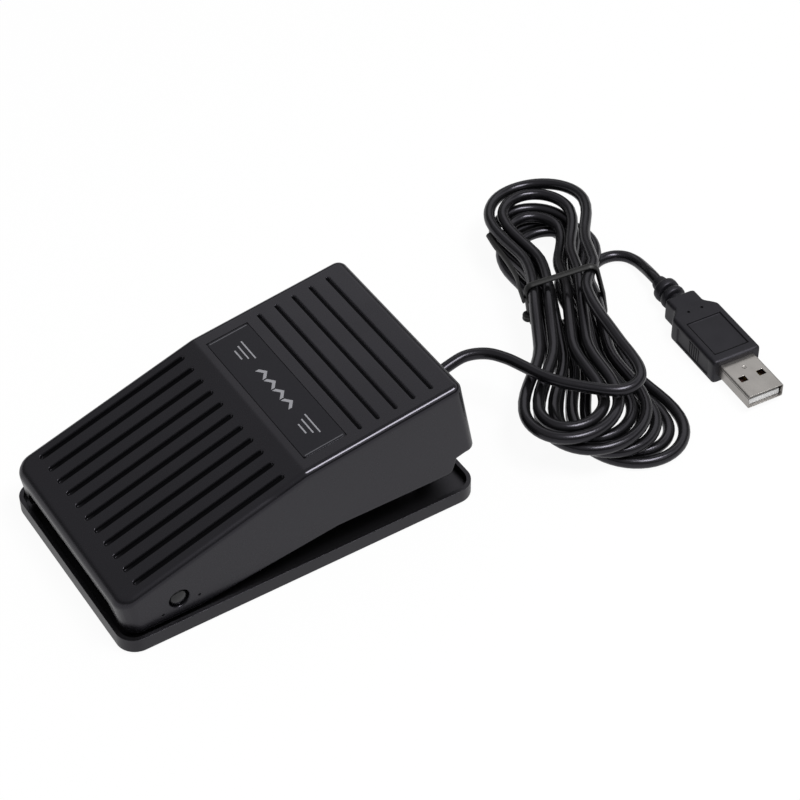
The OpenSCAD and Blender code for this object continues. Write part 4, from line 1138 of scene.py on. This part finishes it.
class PEDAL_OT_works(Operator):
    """Circuit board with its parts, screws, wires and the return spring"""

    bl_idname = "pedal.works"
    bl_label = "Inner works"

    def execute(self, context):
        plated = steel_finish("plated_steel", (0.6, 0.6, 0.61), 0.25)
        for node, finish, edge in (
                ("circuit_board", board_finish(), 0.12),
                ("light_gate", resin_finish("gate_plastic", (0.010, 0.010, 0.011), 0.45), 0.3),
                ("controller_chip", resin_finish("chip_resin", (0.012, 0.012, 0.013), 0.55), 0.06),
                ("crystal_can", plated, 0.35),
                ("board_passives", resin_finish("ceramic_passive", (0.32, 0.23, 0.14), 0.5), 0.1),
                ("wire_header", resin_finish("header_plastic", (0.62, 0.6, 0.52), 0.45), 0.15),
                ("clamp_screws", plated, 0.12)):
            dress(rounded_copy(node, edge), finish, "base", node)
        self.screws(plated)
        self.wires()
        self.spring()
        self.inner_lead()
        return DONE

    def screws(self, finish):
        """Cross-slotted screws, repeated on the board's four corners."""
        shape = Shape()
        shape.lathe([(0, -3.8), (0.5, -3.8), (1, -3.2), (1, 0), (2, 0), (2, 0.7), (1.75, 1.15), (1.2, 1.36), (0, 1.4)],
                    Matrix(), 40)
        slots = Shape()
        for turn in (0, QUARTER):
            slots.box((-1.3, -0.28, 0.75), (1.3, 0.28, 2.0), 0.05, Matrix.Rotation(turn, 4, "Z"), 1)
        screw = smooth(carve(shape.piece("screw"), slots, True), 40.0)
        piece = repeat_on_grid("board_screws_piece", screw, (36, 24), (0, 0, BOARD_TOP), (2, 2), finish)
        dress(piece, finish, "base", "board_screws")

    def wires(self):
        """Four insulated wires from the lead's end to the header."""
        shape = Shape()
        counts = []
        end = EXIT - EXIT_WAY * 14.52
        for i in range(4):
            off = i - 1.5
            x = -10 + off * 2
            lift = 0.75 * (-1 if i % 2 == 0 else 1)
            side = Vector((0.75 * (-1 if i < 2 else 1), -lift * math.sin(EXIT_TILT), lift * math.cos(EXIT_TILT)))
            stub = EXIT_WAY * 1.2 * (1 if i < 2 else 2)
            before = len(shape.points)
            shape.tube(spline([end + side, end + side - stub, (-10 + off * 0.88, 26 - off * 1.33, 11.0), (x, 18, 10.6),
                               (x, 10, 10.4), (x, 6, 10.4)], 8), 0.48)
            counts.append(len(shape.points) - before)
        data = shape.mesh("wires_piece")
        strand = data.attributes.new("strand", "FLOAT", "POINT")
        ends = np.cumsum(counts)
        for k in range(len(data.vertices)):
            strand.data[k].value = min(3, int(np.searchsorted(ends, k, "right"))) * 0.25 + 0.1
        data.shade_smooth()
        dress(show("wires_piece", data), wire_finish(), "base", "inner_wires")

    def spring(self):
        """Return spring: a wire wound by a node tree."""
        finish = steel_finish("spring_steel", (0.5, 0.5, 0.51), 0.24)

        def build(net, curls, rise, wire):
            coil = net.add("GeometryNodeCurveSpiral", None, {
                "Resolution": 40, "Rotations": curls, "Start Radius": 4.5 * MM, "End Radius": 4.5 * MM, "Height": rise})
            ring = net.add("GeometryNodeCurvePrimitiveCircle", None, {"Resolution": 12, "Radius": wire})
            skin = net.add("GeometryNodeCurveToMesh", None, {"Curve": coil, "Profile Curve": ring, "Fill Caps": True})
            return net.add("GeometryNodeTransform", None, {
                "Geometry": skin, "Translation": (0, SPRING_Y * MM, (SPRING_LOW + 0.6) * MM)})

        sizes = {"Curls": 9.0, "Rise": (SPRING_TOP - SPRING_LOW - 1.2) * MM, "Wire radius": 0.5 * MM}
        piece = grown("spring_piece", finish, sizes, build)
        piece.data.shade_smooth()
        dress(piece, finish, None, "return_spring")
        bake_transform(piece)

    def inner_lead(self):
        """End of the lead inside the grommet and the clamp."""
        shape = Shape()
        shape.lathe([(0, -14.5), (1.6, -14.5), (1.75, -14.3), (1.75, EXIT_REACH), (0, EXIT_REACH)], ON_EXIT, 32)
        dress(shape.piece("inner_lead_piece", 40.0), bpy.data.materials["lead_jacket"], "base", "cable_inner")


class PEDAL_OT_grommet(Operator):
    """Rubber grommet with a ringed sleeve where the lead leaves"""

    bl_idname = "pedal.grommet"
    bl_label = "Grommet"

    def execute(self, context):
        profile = [(1.76, -3.6), (4.8, -3.6), (5.2, -3.2), (5.2, -2.3), (5.0, -2.02), (4.02, -2.0), (4.02, 2.0),
                   (5.0, 2.02), (5.2, 2.3), (5.2, 3.2), (4.9, 3.6), (3.75, 3.7)]
        for k in range(4):
            h, wide = 4.3 + 2.1 * k, 3.5 - 0.22 * k
            profile += [(wide, h), (wide + 0.08, h + 0.5), (wide, h + 1.0), (wide - 0.55, h + 1.25),
                        (wide - 0.6, h + 1.8)]
        profile += [(2.55, 12.6), (2.4, 12.9), (2.2, EXIT_REACH), (1.76, EXIT_REACH)]
        shape = Shape()
        shape.lathe(profile, ON_EXIT, loop=True)
        finish = rubber_finish("lead_rubber", (0.008, 0.008, 0.0085))
        dress(shape.piece("grommet_piece", 45.0), finish, "base", "cable_grommet")
        return DONE


class PEDAL_OT_tie(Operator):
    """Twist tie round the hank's waist, with a twisted knot and a flat free end"""

    bl_idname = "pedal.tie"
    bl_label = "Twist tie"

    def execute(self, context):
        lead = context.scene.pedal_lead
        corners = hull(strands_at_tie(lead_line(lead)))
        hold = lead.diameter / MM / 2 + 0.6
        path = []
        for k, (n, z) in enumerate(corners):
            before, after = corners[k - 1], corners[(k + 1) % len(corners)]
            a0 = math.atan2(z - before[1], n - before[0]) - QUARTER
            a1 = math.atan2(after[1] - z, after[0] - n) - QUARTER
            while a1 < a0:
                a1 += 2 * math.pi
            path += [(0, n + hold * math.cos(a), z + hold * math.sin(a)) for a in np.linspace(a0, a1, 11)]
        outline = [(1.15 * math.cos(a), 0.56 * math.sin(a) * (1.15 + 0.15 * math.cos(4 * a))) for a in circle(16)[::-1]]
        band = Shape()
        band.sweep(path, outline, [(1, 0, 0)] * len(path), loop=True)
        left = min(n for n, z in corners) - hold
        knot = Vector((0.3, left + 1.2, 5.4))
        band.tube([knot + Vector((1.25 * math.cos(5 * math.pi * t), 1.25 * math.sin(5 * math.pi * t), 2.6 * t - 1.3))
                   for t in np.linspace(0, 1, 49)], 0.8)
        free = spline([(1.4, left - 0.9, 12.6), (-4, left - 0.9, 12.9), (-10, left - 0.6, 12.9),
                       (-20, left - 2.0, 12.4), (-26, left - 3.3, 12.0), (-32, left - 4.1, 11.7)], 6)
        across = [(0, math.sin(0.9 * k / len(free)), math.cos(0.9 * k / len(free))) for k in range(len(free))]
        band.sweep(free, [(p * 0.8, q * 0.8) for p, q in outline], across)
        shape = Shape()
        shape.add(band.points, band.faces, Matrix.Translation(in_hank(TIE, 0, 0)) @ Matrix.Rotation(HANK_TURN, 4, "Z"))
        finish = resin_finish("tie_plastic", (0.006, 0.006, 0.006), 0.42, 0.5)
        dress(shape.piece("tie_piece", 60.0), finish, "base", "cable_tie")
        return DONE


class PEDAL_OT_plug(Operator):
    """Plug: ribbed boot, moulded body, plated shell, tongue and contacts"""

    bl_idname = "pedal.plug"
    bl_label = "Plug"

    def execute(self, context):
        colours = context.scene.pedal_colours
        moulding = moulding_finish(colours)
        vents = Shape()
        for y in (-2.3, 2.3):
            vents.lathe([(0, 3.7), (0.34, 3.72), (0.42, 4.0), (0.42, 5), (0, 5)],
                        IN_PLUG @ Matrix.Translation((-22.6, y, 0)), 20)
        body = smooth(carve(self.body().piece("plug_body_piece"), vents), 42.0)
        dress(body, moulding, "base", "plug_body")
        dress(self.boot().piece("plug_boot_piece", 45.0), moulding, "base", "plug_boot")
        self.ribs(moulding)
        marks = Shape()
        marks.lathe([(0, 2.05), (0.4, 2.06), (0.62, 2.12), (0.8, 2.26), (0.8, 3), (0, 3)],
                    IN_PLUG @ Matrix.Translation((3.6, 0, 0)), 32)
        for y in (-6.2, 6.2):
            marks.box((0.4, y - 0.26, 1.33), (16, y + 0.26, 1.51), 0, IN_PLUG)
        shell = smooth(carve(rounded_copy("plug_shell", 0.1), marks), 40.0)
        dress(shell, nickel_finish(colours), "base", "plug_shell")
        white = resin_finish("tongue_plastic", (0.80, 0.80, 0.80), 0.4, shaded_windows=True)
        dress(rounded_copy("plug_tongue", 0.15), white, "base", "plug_tongue")
        gold = steel_finish("contact_gold", (0.8, 0.58, 0.22), 0.22)
        dress(rounded_copy("plug_contacts", 0.05), gold, "base", "plug_contacts")
        return DONE

    def body(self):
        """Loft of rounded sections: neck, shoulder and body, with a sunk panel on top and sunk grips at the sides."""
        stations = [-31.1, -30.9, -30.5, -30.2, -29.0, -27.6, -26.4, *(-26.0 + 0.5 * k for k in range(9)),
                    -21.4, -20.2, -19.6, -19.4, -19.2, -18.3, -18.1, -17.9, -17.7, -15, -12, -9, -6, -4.0, -3.8, -3.6,
                    -3.1, -2.9, -2.7, -1.6, -0.9, -0.5, -0.2, 0.0]
        tops = [-1, -0.83, -0.8, -0.77, -0.5, 0, 0.5, 0.77, 0.8, 0.83, 1]
        sides = [1, 0.9, 0.84, 0.78, 0, -0.78, -0.84, -0.9, -1]
        corner = (0.39, 0.79, 1.18)
        r = 1.15

        def half(x, panel):
            """Half a section: over the top, down the right side and round both its corners."""
            t = clip((x + 26.4) / 4.6)
            inset = 0.5 * max(0, (x + 0.9) / 0.9) ** 2 + 0.5 * max(0, (-30.2 - x) / 0.9) ** 2
            w, h = 5.1 + 3.0 * t * t * (3 - 2 * t) - inset, 3.95 + 0.25 * t - inset
            grip = 0.34 * clip((x + 19.5) / 0.3) * clip((-2.8 - x) / 0.3)
            out = [(x, f * (w - r), h - panel * clip((0.83 - abs(f)) / 0.05)) for f in tops]
            out += [(x, w - r + r * math.sin(a), h - r + r * math.cos(a)) for a in corner]
            out += [(x, w - grip * clip((0.9 - abs(f)) / 0.1), f * (h - r)) for f in sides]
            return out + [(x, w - r + r * math.cos(a), -h + r - r * math.sin(a)) for a in corner]

        rings = []
        for x in stations:
            panel = 0.28 * clip((x + 18.2) / 0.35) * clip((-3.1 - x) / 0.35)
            rings.append(half(x, panel) + [(x, -y, -z) for _, y, z in half(x, 0.0)])
        shape = Shape()
        shape.rings(rings, IN_PLUG)
        return shape

    def boot(self):
        """Ringed strain relief on the lead."""
        profile = [(0, -0.3), (3.3, -0.3), (3.3, 0.9), (3.1, 1.2), (2.6, 1.35), (2.55, 2.0), (3.5, 2.2), (3.9, 2.6),
                   (3.98, 3.5), (3.8, 4.25), (3.4, 4.55), (2.65, 4.7), (2.6, 5.3), (3.5, 5.5), (3.9, 5.9), (3.98, 7.0),
                   (3.85, 7.9), (3.4, 8.4), (2.75, 8.65), (2.5, 8.8), (2.45, 9.6), (2.4, 10.6), (2.2, 11.3),
                   (1.8, 11.5), (0, 11.5)]
        shape = Shape()
        shape.lathe(profile, IN_PLUG @ Matrix.Translation((BOOT_START, 0, 0)) @ Matrix.Rotation(-QUARTER, 4, "Y"))
        return shape

    def ribs(self, finish):
        """Upright grip ribs in the body's sunk sides."""
        rib = Shape()
        for y in (-7.95, 7.55):
            rib.box((-0.28, y, -2.2), (0.28, y + 0.4, 2.2), 0.14, None, 2)
        piece = repeat_on_grid("plug_ribs_piece", rib.piece("rib", 40.0), (4.4, 0.0), (-11.0, 0, 0), (5, 2), finish)
        bm = bmesh.new()
        bm.from_mesh(piece.data)
        bmesh.ops.remove_doubles(bm, verts=bm.verts, dist=1e-7)
        bm.to_mesh(piece.data)
        bm.free()
        piece.data.transform(in_metres(IN_PLUG))
        dress(piece, finish, "base")


class PEDAL_PT_panel(Panel):
    """Lists the pieces and the sizes that can be changed"""

    bl_idname = "PEDAL_PT_panel"
    bl_label = "Foot pedal"
    bl_space_type = "VIEW_3D"
    bl_region_type = "UI"
    bl_category = "Pedal"

    def draw(self, context):
        for group in (context.scene.pedal_cover, context.scene.pedal_lead, context.scene.pedal_colours):
            box = self.layout.box()
            for name in group.bl_rna.properties.keys():
                if name not in ("rna_type", "name"):
                    box.prop(group, name)
        for operator in OPERATORS:
            self.layout.operator(operator.bl_idname)


OPERATORS = (PEDAL_OT_stage, PEDAL_OT_lead, PEDAL_OT_plug, PEDAL_OT_tie, PEDAL_OT_lead_facts, PEDAL_OT_cover,
             PEDAL_OT_label, PEDAL_OT_tray, PEDAL_OT_pins, PEDAL_OT_feet, PEDAL_OT_works, PEDAL_OT_grommet)
CLASSES = (CoverSizes, LeadSizes, PedalColours, *OPERATORS, PEDAL_PT_panel)


def register():
    for item in CLASSES:
        bpy.utils.register_class(item)
    bpy.types.Scene.pedal_cover = PointerProperty(type=CoverSizes)
    bpy.types.Scene.pedal_lead = PointerProperty(type=LeadSizes)
    bpy.types.Scene.pedal_colours = PointerProperty(type=PedalColours)


def unregister():
    del bpy.types.Scene.pedal_colours, bpy.types.Scene.pedal_lead, bpy.types.Scene.pedal_cover
    for item in reversed(CLASSES):
        bpy.utils.unregister_class(item)


def main():
    register()
    for operator in OPERATORS:
        getattr(bpy.ops.pedal, operator.bl_idname.split(".")[1])()


if __name__ == "__main__":
    main()
